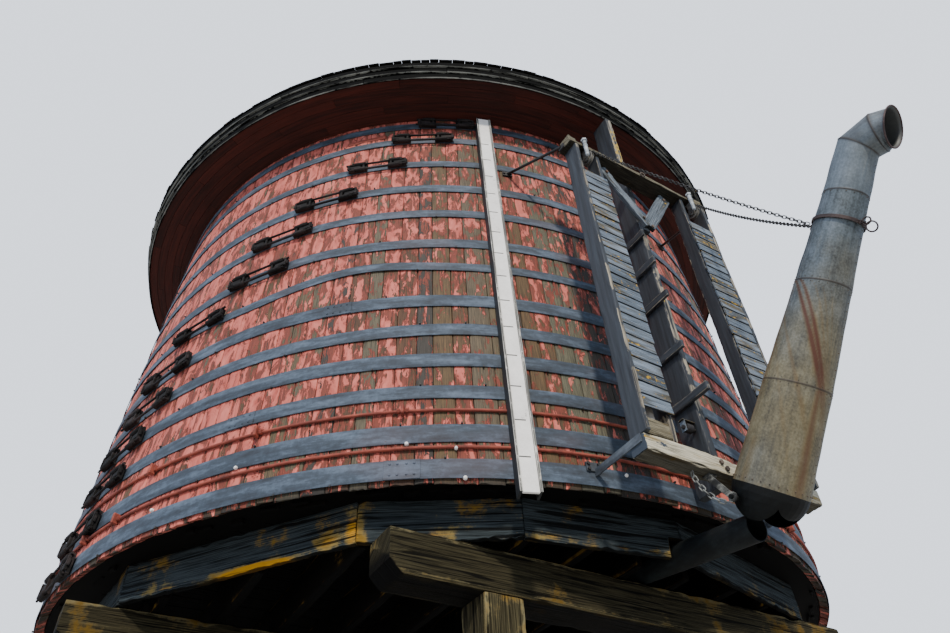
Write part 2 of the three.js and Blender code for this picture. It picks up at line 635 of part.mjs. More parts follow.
// The barrel's three lower lengths, and the top length in one with its elbow
const roundJoint = ([along, radius]) => (
  { centre: [-BASE_BELOW, BASE_AHEAD + along], tilt: 0, radius, stretch: 1 });
const [HEAD_FOOT, HEAD_RADIUS] = SEAMS[4];
function headStations() {
  const elbow = ELBOW.map(([ahead, along, tiltDeg, radius, stretch]) => ({
    centre: [-BASE_BELOW - ahead, BASE_AHEAD + along],
    tilt: THREE.MathUtils.degToRad(tiltDeg),
    radius,
    stretch,
    swing: THREE.MathUtils.degToRad(ELBOW_SWING_DEG),
  }));
  return [roundJoint([HEAD_FOOT + FIT, HEAD_RADIUS]), ...elbow];
}
addPiece('spout_barrel', sheetTube(SEAMS.slice(0, 5).map(roundJoint), SPOUT_SHEET), galvanised, spout);
addPiece('spout_head', sheetTube(headStations(), SPOUT_SHEET), galvanised, spout);

// Boot: a round bowl under the barrel, slotted so that it swings past the outlet pipe's mouth
const BOOT_RADIUS = SEAMS[0][1];
const BOOT_SHEET = 4;
const BOOT_STEPS = 8;
const TRUNNION_RADIUS = 14.5;
const TRUNNION_LENGTH = 76;
function boot() {
  const arc = (radius) => Array.from({ length: BOOT_STEPS + 1 }, (_, i) => {
    const turn = i / BOOT_STEPS * Math.PI / 2;
    return new THREE.Vector2(i < BOOT_STEPS ? radius * Math.cos(turn) : 0, -radius * Math.sin(turn));
  });
  const profile = [...arc(BOOT_RADIUS), ...arc(BOOT_RADIUS - BOOT_SHEET).reverse()];
  profile.push(profile[0].clone());
  const bowl = new THREE.LatheGeometry(profile, 32).rotateX(Math.PI / 2)
    .translate(0, -BASE_BELOW, BASE_AHEAD - FIT);
  const slot = block([-SLOT_HALF, -BASE_BELOW - SLOT_FRONT, BASE_AHEAD - BOOT_RADIUS - 1],
    [SLOT_HALF, -BASE_BELOW + SLOT_REAR, BASE_AHEAD - BOOT_RADIUS / 4]);
  const trunnion = (side) => solid(drumAlongX([side * BOOT_RADIUS, 0, 0], TRUNNION_RADIUS, TRUNNION_LENGTH));
  return geometryOf(solid(bowl).subtract(solid(slot)).add(trunnion(-1)).add(trunnion(1)));
}
addPiece('spout_boot', boot(), blackIron, spout);

// Collar: an iron band with an eye for the lifting chains behind and a pull ring in front
function ringInPlane(centre, radius, wire) {
  return new THREE.TorusGeometry(radius, wire, 6, 12).rotateY(Math.PI / 2).translate(...centre);
}
const COLLAR_FIT = 1.2;
const COLLAR_THICK = 8;
const COLLAR_WIDTH = 24;
const RING_WIRE = 7;
const EYE_RADIUS = 26;
const EYE_AHEAD = 34;
const PULL_RADIUS = 36;
const PULL_AHEAD = 44;
const PULL_DROP = 12;
function collar() {
  const height = BASE_AHEAD + COLLAR_AT;
  const inside = SEAMS[3][1] + COLLAR_FIT;
  const outside = inside + COLLAR_THICK;
  const half = COLLAR_WIDTH / 2;
  const profile = [[inside, -half], [outside, -half], [outside, half], [inside, half], [inside, -half]]
    .map(([radius, up]) => new THREE.Vector2(radius, up));
  const band = new THREE.LatheGeometry(profile, BARREL_SIDES).rotateX(Math.PI / 2)
    .translate(0, -BASE_BELOW, height);
  const chainEye = ringInPlane([0, -BASE_BELOW + inside + EYE_AHEAD, height], EYE_RADIUS, RING_WIRE);
  const pullRing = ringInPlane(
    [0, -BASE_BELOW - inside - PULL_AHEAD, height - PULL_DROP], PULL_RADIUS, RING_WIRE);
  return joined(band, chainEye, pullRing);
}
addPiece('spout_collar', collar(), blackIron, spout);

// Lifting chains from the collar's eye up over each sheave
const lean = THREE.MathUtils.degToRad(LEAN_DEG);
const inTower = (y, z) => [
  HINGE[1] + y * Math.cos(lean) - z * Math.sin(lean), HINGE[2] + y * Math.sin(lean) + z * Math.cos(lean)];
const CHAIN_HOLD = [30, 22];
const CHAIN_APART = 22;
const CHAIN_SAG = 55;
const eye = inTower(-BASE_BELOW + SEAMS[3][1] + COLLAR_FIT + EYE_AHEAD + CHAIN_HOLD[0],
  BASE_AHEAD + COLLAR_AT + CHAIN_HOLD[1]);
for (const [word, side] of [['left', -1], ['right', 1]]) {
  const over = [0, 30, 60, 90, 120, 150].map((deg) => {
    const turn = THREE.MathUtils.degToRad(deg);
    const height = SHEAVE_Z + CHAIN_RUN * Math.sin(turn) + 5;
    return [side * SHEAVE_X, SHEAVE_Y + CHAIN_RUN * Math.cos(turn), height];
  });
  const from = over[over.length - 1];
  const to = [side * CHAIN_APART, eye[0], eye[1]];
  const run = [0.15, 0.3, 0.45, 0.6, 0.75, 0.9, 1].map((t) => [
    from[0] + (to[0] - from[0]) * t, from[1] + (to[1] - from[1]) * t,
    from[2] + (to[2] - from[2]) * t - CHAIN_SAG * 4 * t * (1 - t)]);
  const start = [side * SHEAVE_X, chainY, SHEAVE_Z + FIT];
  chainAlong([start, ...over, ...run], `${word}_lifting_chain`);
}

// Outlet pipe: drops from the tank floor, turns, and slopes out under the rim to the boot
function outletPipe() {
  const rise = PIPE_MOUTH[2] + PIPE_SLOPE * (PIPE_DROP_Y - PIPE_MOUTH[1]);
  const down = Math.atan(PIPE_SLOPE);
  const turn = Math.PI / 4 + down / 2;
  const stretch = 1.38;
  return sheetTube([
    { centre: [PIPE_MOUTH[1], PIPE_MOUTH[2]], tilt: Math.PI / 2 + down, radius: PIPE_RADIUS, stretch: 1 },
    { centre: [PIPE_DROP_Y, rise], tilt: Math.PI - turn + down, radius: PIPE_RADIUS, stretch },
    { centre: [PIPE_DROP_Y, FLOOR_FOOT - FIT], tilt: Math.PI, radius: PIPE_RADIUS, stretch: 1 },
  ], PIPE_WALL);
}
addPiece('outlet_pipe', outletPipe(), blackIron);

// Hangers: flat irons under the beam whose eyes carry the boot's trunnions
const HANGER_INSIDE = 246;
const HANGER_OUTSIDE = 258;
const HANGER_HALF = 20;
const HANGER_EYE = 32;
const HANGER_BORE = 15.2;
const HANGER_TOP = -4050;
const HANGER_FOOT = { reach: 60, half: 30, thick: 12 };
function hanger() {
  const top = [HANGER_TOP, BEAM_FOOT - FIT];
  const reach = new THREE.Vector2(top[0] - HINGE[1], top[1] - HINGE[2]);
  const tilt = Math.atan2(-reach.x, reach.y);
  const iron = block([HANGER_INSIDE, -HANGER_HALF, HANGER_HALF],
    [HANGER_OUTSIDE, HANGER_HALF, reach.length() - 22])
    .rotateX(tilt).translate(0, HINGE[1], HINGE[2]);
  const middle = [(HANGER_INSIDE + HANGER_OUTSIDE) / 2, HINGE[1], HINGE[2]];
  const eyePlate = drumAlongX(middle, HANGER_EYE, HANGER_OUTSIDE - HANGER_INSIDE);
  const bore = drumAlongX(middle, HANGER_BORE, 2 * (HANGER_OUTSIDE - HANGER_INSIDE));
  const foot = block(
    [HANGER_INSIDE - HANGER_FOOT.reach, top[0] - HANGER_FOOT.half, top[1] - HANGER_FOOT.thick],
    [HANGER_OUTSIDE, top[0] + HANGER_FOOT.half, top[1]]);
  return geometryOf(solid(joined(iron, eyePlate, foot)).subtract(solid(bore)));
}
addPiece('right_hanger', hanger(), blackIron);
addPiece('left_hanger', mirrored(hanger()), blackIron);

// Slack safety chain from the beam down to the left hanger
const SAFETY_ROUTE = [
  [-370, -4040, BEAM_FOOT - FIT], [-370, -4040, 4100], [-362, -4055, 4040], [-345, -4085, 3960],
  [-325, -4130, 3890], [-300, -4165, 3862], [-278, -4176, 3864], [-HANGER_OUTSIDE - FIT, -4177, 3865],
];
chainAlong(SAFETY_ROUTE, 'safety_chain');

export default tower;
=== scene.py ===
"""Railway water tank with a counterweighted filling spout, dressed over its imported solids.

Lengths are metres. Every shape is worked out from the tank's upright axis, with the spout towards -Y, and
piece() sets it in the frame.
"""
from functools import partial

import bpy
import numpy as np
from mathutils import Matrix, Vector


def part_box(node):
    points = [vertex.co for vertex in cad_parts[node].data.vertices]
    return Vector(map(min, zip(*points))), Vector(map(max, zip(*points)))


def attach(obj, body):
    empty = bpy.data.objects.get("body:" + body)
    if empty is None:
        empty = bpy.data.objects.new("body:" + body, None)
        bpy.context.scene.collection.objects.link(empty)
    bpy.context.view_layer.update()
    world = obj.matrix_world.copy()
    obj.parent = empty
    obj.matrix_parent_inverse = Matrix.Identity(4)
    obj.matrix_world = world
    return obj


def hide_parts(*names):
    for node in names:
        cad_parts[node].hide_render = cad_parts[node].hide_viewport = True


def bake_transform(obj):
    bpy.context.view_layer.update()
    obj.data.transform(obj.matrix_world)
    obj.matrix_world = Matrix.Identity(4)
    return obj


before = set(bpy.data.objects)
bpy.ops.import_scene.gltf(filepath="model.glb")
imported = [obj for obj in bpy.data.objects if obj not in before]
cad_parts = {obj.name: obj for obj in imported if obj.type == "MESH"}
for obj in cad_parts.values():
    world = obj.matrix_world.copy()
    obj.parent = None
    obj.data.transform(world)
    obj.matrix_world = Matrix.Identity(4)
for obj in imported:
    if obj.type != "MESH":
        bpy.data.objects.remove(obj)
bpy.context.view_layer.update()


# Camera, floor and light
# The eye stands beside the front left post and looks steeply up along the wall. The key light comes from
# the front left, as high as the shadow under the eaves asks. A broad light and a pale sky fill in.
roof_low, roof_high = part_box("roof")
AXIS = np.array([0.0, (roof_low.y + roof_high.y) / 2, 0.0])
EYE = np.array([-3.797, -6.849, 1.600])
AHEAD = Vector((0.39345, 0.60541, 0.69186))
HEAD_UP = Vector((-0.3233, -0.6134, 0.7206))
LENS_MM = 27.97
KEY_AZIMUTH, KEY_HEIGHT = np.radians(-25.5), np.radians(36.0)


def linear(colour):
    """An sRGB hex colour as linear RGBA: a dark part c is c / 12.92, any other ((c + 0.055) / 1.055) ** 2.4."""
    parts = np.array([int(colour[i:i + 2], 16) for i in (1, 3, 5)]) / 255
    parts = np.where(parts <= 0.04045, parts / 12.92, ((parts + 0.055) / 1.055) ** 2.4)
    return (*parts, 1.0)


# What these kinds of node are set to, unless a call says otherwise
USUAL_SETTINGS = {"Math": {"operation": "MULTIPLY_ADD"}, "Mix": {"data_type": "RGBA", "out": 2},
                  "TexNoise": {"noise_dimensions": "2D"}, "Attribute": {"out": 2}}


def node(tree, kind, sockets=None, stops=(), **settings):
    """Adds one shader node. Its settings are its own properties, its sockets are values or other nodes'
    outputs, and stops are a ramp's places and colours. Returns the output numbered out."""
    made = tree.nodes.new("ShaderNode" + kind)
    settings = USUAL_SETTINGS.get(kind, {}) | settings
    out = settings.pop("out", 0)
    for name, value in settings.items():
        setattr(made, name, value)
    for name, value in (sockets or {}).items():
        if isinstance(value, bpy.types.NodeSocket):
            tree.links.new(value, made.inputs[name])
        else:
            made.inputs[name].default_value = value
    for i, (place, colour) in enumerate(stops):
        stop = made.color_ramp.elements[i] if i < 2 else made.color_ramp.elements.new(place)
        stop.position = place
        stop.color = linear(colour)
    return made.outputs[out] if made.outputs else made


def finish(name):
    """A new material with an empty node tree, and node() for that tree."""
    material = bpy.data.materials.new(name)
    material.use_nodes = True
    material.node_tree.nodes.clear()
    return material, partial(node, material.node_tree)


def coat(material, add, colour, roughness, relief=None, specular=0.5, metallic=0.0):
    """Gives a material its one surface: a colour and a roughness, how it shines, and a relief drawn as bump,
    which is a height from 0 to 1, its strength and its depth in metres."""
    sockets = {"Base Color": colour, "Roughness": roughness, "Metallic": metallic,
               "Specular IOR Level": specular}
    if relief:
        sockets["Normal"] = add("Bump", dict(zip(("Height", "Strength", "Distance"), relief)))
    add("OutputMaterial", {"Surface": add("BsdfPrincipled", sockets)})
    return material


camera = bpy.data.objects.new("camera", bpy.data.cameras.new("camera"))
across = AHEAD.cross(HEAD_UP).normalized()
facing = Matrix((across, across.cross(AHEAD).normalized(), -AHEAD.normalized())).transposed().to_4x4()
camera.matrix_world = Matrix.Translation(EYE + AXIS) @ facing
camera.data.lens = LENS_MM
camera.data.sensor_width = 36.0
bpy.context.scene.collection.objects.link(camera)
bpy.context.scene.camera = camera

TO_KEY = (np.sin(KEY_AZIMUTH) * np.cos(KEY_HEIGHT), -np.cos(KEY_AZIMUTH) * np.cos(KEY_HEIGHT),
          np.sin(KEY_HEIGHT))
TO_SIDE = (-0.86, -0.08, 0.5)
for name, energy, width_deg, tint, from_there in (("key_light", 4.0, 5.0, "#fff3e2", TO_KEY),
                                                  ("side_light", 0.9, 70.0, "#dfe9ff", TO_SIDE)):
    light = bpy.data.objects.new(name, bpy.data.lights.new(name, "SUN"))
    light.data.energy = energy
    light.data.angle = np.radians(width_deg)
    light.data.color = linear(tint)[:3]
    light.rotation_euler = Vector(from_there).to_track_quat("Z", "Y").to_euler()
    bpy.context.scene.collection.objects.link(light)

sky = bpy.data.worlds.new("pale_sky")
sky.use_nodes = True
sky.node_tree.nodes.clear()
add = partial(node, sky.node_tree)
fill = add("Background", {"Color": linear("#d3e2fa"), "Strength": 0.95})
backdrop = add("Background", {"Color": linear("#e6edf9"), "Strength": 1.9})
add("OutputWorld", {"Surface": add("MixShader", {0: add("LightPath"), 1: fill, 2: backdrop})})
bpy.context.scene.world = sky

plaster, add = finish("pale_floor")
speck = add("TexNoise", {"Scale": 3.0, "Detail": 4.0}, noise_dimensions="3D")
coat(plaster, add, add("ValToRGB", {"Fac": speck}, stops=((0.3, "#b9b5ad"), (0.7, "#c9c5bd"))), 0.9)
FLOOR_REACH = 40.0
corners = np.array([(-1, -1), (1, -1), (1, 1), (-1, 1)]) * FLOOR_REACH
floor = bpy.data.objects.new("floor", bpy.data.meshes.new("floor"))
floor.data.from_pydata([(x, y, -0.002) for x, y in corners], [], [(0, 1, 2, 3)])
floor.data.materials.append(plaster)
bpy.context.scene.collection.objects.link(floor)


# Trestle bents
# Heavy sawn timbers, 12 inches square and brushed with creosote long ago: brown-black, with long drying
# checks, and bare ochre wood where the tar has worn off the edges. Caps lie on posts, drifted together.
WAVE_COUNT = 10


def waves(points, size, seed):
    """A smooth random height, about -1 to 1: WAVE_COUNT sine waves of random direction and phase whose lengths
    are near size, given for each direction, summed and divided by the root of their number."""
    pick = np.random.default_rng(seed)
    turns = pick.normal(size=(len(size), WAVE_COUNT)) * (2 * np.pi / np.asarray(size, float))[:, None]
    phases = pick.uniform(0, 2 * np.pi, WAVE_COUNT)
    return np.sin(points @ turns + phases).sum(-1) / np.sqrt(WAVE_COUNT)


def unit(vectors):
    """Vectors, each divided by its length."""
    return vectors / np.linalg.norm(vectors, axis=-1, keepdims=True)


def full_circle(count):
    """Equal turns once round a circle, in radians."""
    return np.linspace(0, 2 * np.pi, count, endpoint=False)


def gather(parts):
    """Joins parts into one: points and their values follow each other, and faces are numbered on."""
    starts = np.cumsum([0] + [len(part["points"]) for part in parts])
    whole = {key: np.concatenate([part[key] for part in parts]) for key in ("points", "uv", "tone", "edge")}
    whole["faces"] = [block + start for part, start in zip(parts, starts) for block in part["faces"]]
    return whole


def loft(rings, uv=None, tone=0.0, edge=0.0, wrap_rows=False):
    """A closed body through rings of points, an array of rows by columns by 3: quads join each ring to the
    next, flat faces close the ends unless the rows close on themselves, and all faces are turned outwards."""
    rows, columns = rings.shape[:2]
    r, c = np.meshgrid(np.arange(rows if wrap_rows else rows - 1), np.arange(columns), indexing="ij")
    up, right = (r + 1) % rows, (c + 1) % columns
    quads = np.stack([r * columns + c, r * columns + right, up * columns + right, up * columns + c], -1)
    quads = quads.reshape(-1, 4)
    points = rings.reshape(-1, 3)
    a, b, d, e = (points[quads[:, i]] - points.mean(0) for i in range(4))
    inside_out = (np.cross(a, b) * d + np.cross(a, d) * e).sum() < 0
    faces = [quads]
    if not wrap_rows:
        faces += [np.arange(columns)[None, ::-1], np.arange((rows - 1) * columns, rows * columns)[None]]
    if inside_out:
        faces = [block[:, ::-1] for block in faces]
    return {
        "points": points,
        "faces": faces,
        "uv": np.zeros((len(points), 2)) if uv is None else uv.reshape(-1, 2),
        "tone": np.broadcast_to(tone, rings.shape[:2]).reshape(-1).astype(float),
        "edge": np.broadcast_to(edge, rings.shape[:2]).reshape(-1).astype(float),
    }


def piece(name, part, material, body="root", stands_for=(), smooth_deg=35.0, blend=None):
    """Makes one mesh object of a part, shaded smooth up to an angle, and lets it ride its CAD body; with a
    blend it is baked in place instead. Its uv is kept as a UV map and its tone and edge as attributes for
    the material."""
    mesh = bpy.data.meshes.new(name)
    mesh.from_pydata(part["points"] + AXIS, [], [face for block in part["faces"] for face in block.tolist()])
    for key in ("tone", "edge"):
        mesh.attributes.new(key, "FLOAT", "POINT").data.foreach_set("value", part[key].astype(np.float32))
    corner_points = np.zeros(len(mesh.loops), np.int32)
    mesh.loops.foreach_get("vertex_index", corner_points)
    uv = part["uv"][corner_points].astype(np.float32)
    mesh.uv_layers.new(name="surface").data.foreach_set("uv", uv.ravel())
    mesh.shade_smooth()
    mesh.set_sharp_from_angle(angle=np.radians(smooth_deg))
    mesh.materials.append(material)
    made = bpy.data.objects.new(name, mesh)
    bpy.context.scene.collection.objects.link(made)
    if blend:
        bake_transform(made)
    else:
        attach(made, body)
    if stands_for:
        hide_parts(*stands_for)
    return made


CORNER_POWER = 24


def timber(start, end, width, depth, side, seed, rows, per_side=8, worn=0.006):
    """A sawn timber from start to end: a square outline whose corners are rounded as a superellipse is,
    each point moved by worn edges and by a slow wave. Its uv runs along the grain and round the timber."""
    start, end, side = (np.asarray(v, float) for v in (start, end, side))
    run = end - start
    length = np.linalg.norm(run)
    run = run / length
    side = unit(side - run * (side @ run))
    upward = np.cross(run, side)
    step = np.linspace(-1, 1, per_side, endpoint=False)
    square = np.concatenate([np.stack([step, -np.ones(per_side)], 1), np.stack([np.ones(per_side), step], 1),
                             np.stack([-step, np.ones(per_side)], 1),
                             np.stack([-np.ones(per_side), -step], 1)])
    rounded = square * ((np.abs(square) ** CORNER_POWER).sum(1) ** (-1 / CORNER_POWER))[:, None]
    half = np.array([width, depth]) / 2
    corner = np.clip((np.abs(square).min(1) - 0.7) / 0.3, 0, 1)
    ease = worn / length
    t = np.concatenate([[0], np.linspace(ease, 1 - ease, rows), [1]])
    grid = np.stack([np.broadcast_to(t[:, None] * length, (len(t), len(square))),
                     np.broadcast_to(rounded[:, 0] * half[0], (len(t), len(square))),
                     np.broadcast_to(rounded[:, 1] * half[1], (len(t), len(square)))], -1)
    bite = worn * 0.35 * (1 + waves(grid, (0.9, 0.12, 0.12), seed))
    bite += worn * corner * waves(grid, (0.3, 1, 1), seed + 1) ** 2
    bite[[0, -1]] += worn * 0.8
    shrink = 1 - bite[..., None] / np.maximum(half, 0.02)
    out = grid[..., 1:] * np.clip(shrink, 0.6, 1.0)
    rings = start + grid[..., :1] * run + out[..., :1] * side + out[..., 1:] * upward
    round_way = np.concatenate([[0], np.cumsum(np.linalg.norm(np.diff(rounded * half, axis=0), axis=1))])
    pick = np.random.default_rng(seed)
    along, round_way = grid[..., 0] + pick.uniform(0, 40), round_way + pick.uniform(0, 40)
    return loft(rings, np.stack(np.broadcast_arrays(along, round_way), -1), pick.uniform(), corner)


def creosoted_timber(name, dark, brown, bare, share):
    """Creosoted fir, sawn: near black in the grain, olive brown on the ridges, bare wood in patches and on
    edges, yellow where rot is fresh (edge over 1), and darker where tone is low. Faces that point down and
    the caps' bevelled ends (edge of -2) are painted black as shade. Grain is drawn 8 mm apart; share is how
    much is worn bare."""
    material, add = finish(name)
    place = add("UVMap", uv_map="surface")
    fine = add("Mapping", {"Vector": place, "Scale": (2.4, 125.0, 1.0)})
    grain = add("TexNoise", {"Vector": fine, "Scale": 1.0, "Detail": 5.0, "Roughness": 0.7,
                             "Distortion": 0.3})
    coarse = add("Mapping", {"Vector": place, "Scale": (1.1, 34.0, 1.0)})
    checks = add("TexNoise", {"Vector": coarse, "Scale": 1.0, "Detail": 3.0, "Distortion": 0.5})
    patch = add("TexNoise", {"Vector": place, "Scale": 2.6, "Detail": 7.0, "Roughness": 0.66})
    edge = add("Attribute", attribute_name="edge")
    worn = add("Math", {0: edge, 1: 0.20, 2: patch})
    worn = add("Math", {0: grain, 1: 0.30, 2: worn})
    mask = add("MapRange", {"Value": worn, "From Min": 0.92 - share, "From Max": 1.02 - share})
    tarred = add("ValToRGB", {"Fac": grain}, stops=((0.34, dark), (0.62, brown)))
    ochre = add("Mix", {0: add("MapRange", {"Value": patch, "From Min": 0.5, "From Max": 0.66}),
                        6: linear(bare), 7: linear("#7b6128")})
    colour = add("Mix", {0: mask, 6: tarred, 7: ochre})
    fresh = add("Math", {0: grain, 1: 0.9, 2: edge})
    fresh = add("MapRange", {"Value": fresh, "From Min": 1.45, "From Max": 1.75})
    colour = add("Mix", {0: fresh, 6: colour, 7: linear("#b5821a")})
    crack = add("MapRange", {"Value": checks, "From Min": 0.36, "From Max": 0.43, "To Min": 0.12})
    colour = add("Mix", {0: 1.0, 6: colour, 7: crack}, blend_type="MULTIPLY")
    # Faces that point down are painted darker, down to 12 percent, as shade.
    facing = add("SeparateXYZ", {"Vector": add("NewGeometry", out=3)}, out=2)
    kept = add("MapRange", {"Value": facing, "From Min": -0.7, "From Max": -0.3, "To Min": 0.12})
    colour = add("Mix", {0: 1.0, 6: colour, 7: kept}, blend_type="MULTIPLY")
    tone = add("Attribute", attribute_name="tone")
    darker_by_tone = add("MapRange", {"Value": tone, "To Min": 0.42})
    colour = add("Mix", {0: 1.0, 6: colour, 7: darker_by_tone}, blend_type="MULTIPLY")
    height = add("Math", {0: crack, 1: 1.6, 2: grain})
    # The caps' bevelled ends are painted near black, as shade.
    bevel_shade = add("MapRange", {"Value": edge, "From Min": -1.4, "From Max": -0.4, "To Min": 0.08})
    colour = add("Mix", {0: 1.0, 6: colour, 7: bevel_shade}, blend_type="MULTIPLY")
    return coat(material, add, colour, 0.88, (height, 0.8, 0.006), specular=0.12)


TIMBER = 0.300
CAP_TOP = 3.838
BENTS = {
    "bent_outer_front": (-2.92, 4.10, (-1.25, 1.25)),
    "bent_inner_front": (-1.03, 7.18, (-2.75, -0.95, 0.95, 2.75)),
    "bent_inner_rear": (1.03, 7.18, (-2.75, -0.95, 0.95, 2.75)),
    "bent_outer_rear": (2.92, 4.10, (-1.25, 1.25)),
}
BEVEL = 0.085
# Edge value that marks the caps' bevelled ends, which the material paints near black as shade
BEVEL_SHADE_MARK = -2.0
CAP_TONE = 0.22
trestle_wood = creosoted_timber("creosoted_fir_posts_and_caps", "#070604", "#4f4a35", "#8b8463", 0.19)
for index, (name, (y, length, posts)) in enumerate(BENTS.items()):
    middle = CAP_TOP - TIMBER / 2
    rows, per_side = (170, 16) if y < -1 else (90, 8)
    cap = timber((-length / 2, y, middle), (length / 2, y, middle), TIMBER, TIMBER, (0, 1, 0), 10 * index,
                 rows, per_side, worn=0.0035)
    over_end = np.abs(cap["points"][:, 0]) - (length / 2 - BEVEL)
    cap["points"][:, 2] = np.maximum(cap["points"][:, 2], CAP_TOP - TIMBER + np.maximum(over_end, 0))
    # The bevel under each cap's end gets the mark that paints it black, as shade.
    cut = np.abs(cap["points"][:, 2] - (CAP_TOP - TIMBER + over_end)) < 0.001
    cap["edge"] = np.where(cut & (over_end > 0), BEVEL_SHADE_MARK, cap["edge"])
    # The caps get a low tone, which draws them darker than the posts.
    cap["tone"][:] = CAP_TONE
    stand = [timber((x, y, 0), (x, y, CAP_TOP - TIMBER - 0.002), TIMBER, TIMBER, (1, 0, 0), 10 * index + k + 1,
                    rows=60, worn=0.004)
             for k, x in enumerate(posts)]
    for post in stand:
        post["tone"][:] = 0.8 + 0.2 * post["tone"]
    piece(name.replace("bent", "timbers"), gather([cap] + stand), trestle_wood, stands_for=[name])


# Joists and rim planks
# Joists on edge carry the floor, and planks spiked over their ends close the rim. The planks keep most of
# their black tar; their lower edges have rotted ragged and show bare ochre wood.
RIM_CORNERS_DEG = (-166, -134, -102, -70, -38, -20, 0, 28, 58, 90, 120, 150, 172)
RIM_RADIUS, RIM_PLANK = 3.480, 0.050
FLOOR_FOOT = 4.140
# Where bare wood shows on the rim: azimuth and its spread in degrees, height over the foot and its spread,
# and strength, which passes 1 where the rot is fresh
BARE_SPOTS = (
    (-51, 6.5, 0.012, 0.040, 2.2), (-63, 4, 0.04, 0.05, 1.1), (-38.5, 1.6, 0.10, 0.20, 1.3),
    (-29, 5, 0.05, 0.06, 1.1), (-41, 2.5, 0.06, 0.07, 1.2), (-17, 3.5, 0.04, 0.05, 1.1),
    (-8, 2.5, 0.03, 0.05, 1.1), (-1, 3, 0.03, 0.04, 1.0),
    (22, 5, 0.03, 0.05, 0.9), (60, 8, 0.1, 0.1, 0.7),
    (130, 14, 0.05, 0.06, 0.9), (-120, 14, 0.05, 0.07, 0.9), (170, 12, 0.1, 0.1, 0.6),
)
rim_turns = np.radians(RIM_CORNERS_DEG)
rim_corners = np.stack([np.sin(rim_turns), -np.cos(rim_turns)], 1) * (RIM_RADIUS - RIM_PLANK / 2)


def degrees_between(azimuth, place_deg):
    """How many degrees an azimuth in radians lies past a place, from -180 to 180."""
    return (np.degrees(azimuth) - place_deg + 180) % 360 - 180


def rim_reach(x):
    """The nearest and farthest y inside the rim at a given x, where the rim's straight sides are crossed."""
    crossings = []
    for (x0, y0), (x1, y1) in zip(rim_corners, np.roll(rim_corners, -1, 0)):
        if (x0 - x) * (x1 - x) <= 0:
            crossings.append(y0 + (y1 - y0) * (x - x0) / (x1 - x0))
    return min(crossings), max(crossings)


JOIST_PITCH, JOIST_WIDTH, JOIST_DEPTH = 0.460, 0.074, 0.298
joist_level = (CAP_TOP + FLOOR_FOOT) / 2
joists = []
for i in range(-7, 7):
    x = (i + 0.5) * JOIST_PITCH
    front, rear = rim_reach(x + np.copysign(0.04, x))
    if abs(x) < 0.5:
        front += 0.12
    joists.append(timber((x, front + 0.03, joist_level), (x, rear - 0.03, joist_level), JOIST_WIDTH,
                         JOIST_DEPTH, (1, 0, 0), 200 + i, rows=40, per_side=5))
# Joists, floor planks and roof deck: tarred wood drawn near black, darker than the tar, as painted shade.
shade_black_joist_wood = creosoted_timber("creosoted_fir_joists_black_as_shade", "#010101", "#0d0a06", "#33240f", 0.08)
PIPE_NOTCH, NOTCH_HALF = 0.162, 0.11
RIM_DEPTH = 0.299
planks = []
for i, (a, b) in enumerate(zip(rim_corners, np.roll(rim_corners, -1, 0))):
    plank = timber((*a, joist_level), (*b, joist_level), RIM_PLANK, RIM_DEPTH, np.append(a + b, 0), 240 + i,
                   rows=90, per_side=10)
    plank["tone"][:] = 0.85 + 0.15 * plank["tone"]
    points = plank["points"]
    ragged = 0.010 * waves(points, (0.16, 0.16, 9), 260 + i) * waves(points, (0.7, 0.7, 9), 280 + i)
    low = np.clip((CAP_TOP + 0.06 - points[:, 2]) / 0.06, 0, 1)
    points[:, 2] += low * np.abs(ragged)
    plank["edge"] = 0.45 * low * np.clip(0.6 + 0.9 * waves(points, (0.8, 0.8, 9), 300 + i), 0, 1.6)
    azimuth = np.arctan2(points[:, 0], -points[:, 1])
    for at, spread, rise, tall, strength in BARE_SPOTS:
        away = degrees_between(azimuth, at)
        bell = np.exp(-(away / spread) ** 2 - ((points[:, 2] - CAP_TOP - rise) / tall) ** 2)
        plank["edge"] = np.maximum(plank["edge"], strength * bell)
    over_pipe = (np.abs(points[:, 0]) < NOTCH_HALF) & (points[:, 1] < 0)
    points[over_pipe, 2] = np.maximum(points[over_pipe, 2], CAP_TOP + PIPE_NOTCH)
    planks.append(plank)
rim_wood = creosoted_timber("tarred_fir_rim_planks", "#0e1214", "#3d464a", "#7d6f45", 0.17)
piece("floor_joists", gather(joists), shade_black_joist_wood, stands_for=["joist_frame"])
piece("rim_planks", gather(planks), rim_wood)


# Tank floor
# Floor planks laid across the joists and let into the staves, seen from below between the joists.
def board_form():
    """The 24 corners of a bevelled box, as signs and insets, and its faces: 6 sides, 12 edges, 8 corners.
    Each face is its corners sorted by angle round its middle, so that it faces outwards."""
    sign = []
    own = []
    for axis in range(3):
        for s in (-1, 1):
            for u, v in ((-1, -1), (1, -1), (1, 1), (-1, 1)):
                place = np.zeros(3)
                place[[axis, (axis + 1) % 3, (axis + 2) % 3]] = s, u, v
                sign.append(place)
                own.append(axis)
    sign, own = np.array(sign), np.array(own)
    inset = 1.0 - (own[:, None] == np.arange(3))
    spots = sign * (1 - 0.2 * inset)
    sides = [np.where((own == a) & (sign[:, a] == s))[0] for a in range(3) for s in (-1, 1)]
    edges = [np.where((own != 3 - a - b) & (sign[:, a] == s) & (sign[:, b] == t))[0]
             for a, b in ((0, 1), (0, 2), (1, 2)) for s in (-1, 1) for t in (-1, 1)]
    points = [np.where((sign == triple).all(1))[0] for triple in np.unique(sign, axis=0)]
    faces = []
    for group in sides + edges + points:
        middle = spots[group].mean(0)
        outward = unit(middle)
        first = spots[group[0]] - middle
        second = np.cross(outward, first)
        turn = np.arctan2((spots[group] - middle) @ second, (spots[group] - middle) @ first)
        faces.append(group[np.argsort(turn)])
    return sign, inset, faces


BOARD_SIGN, BOARD_INSET, BOARD_FACES = board_form()


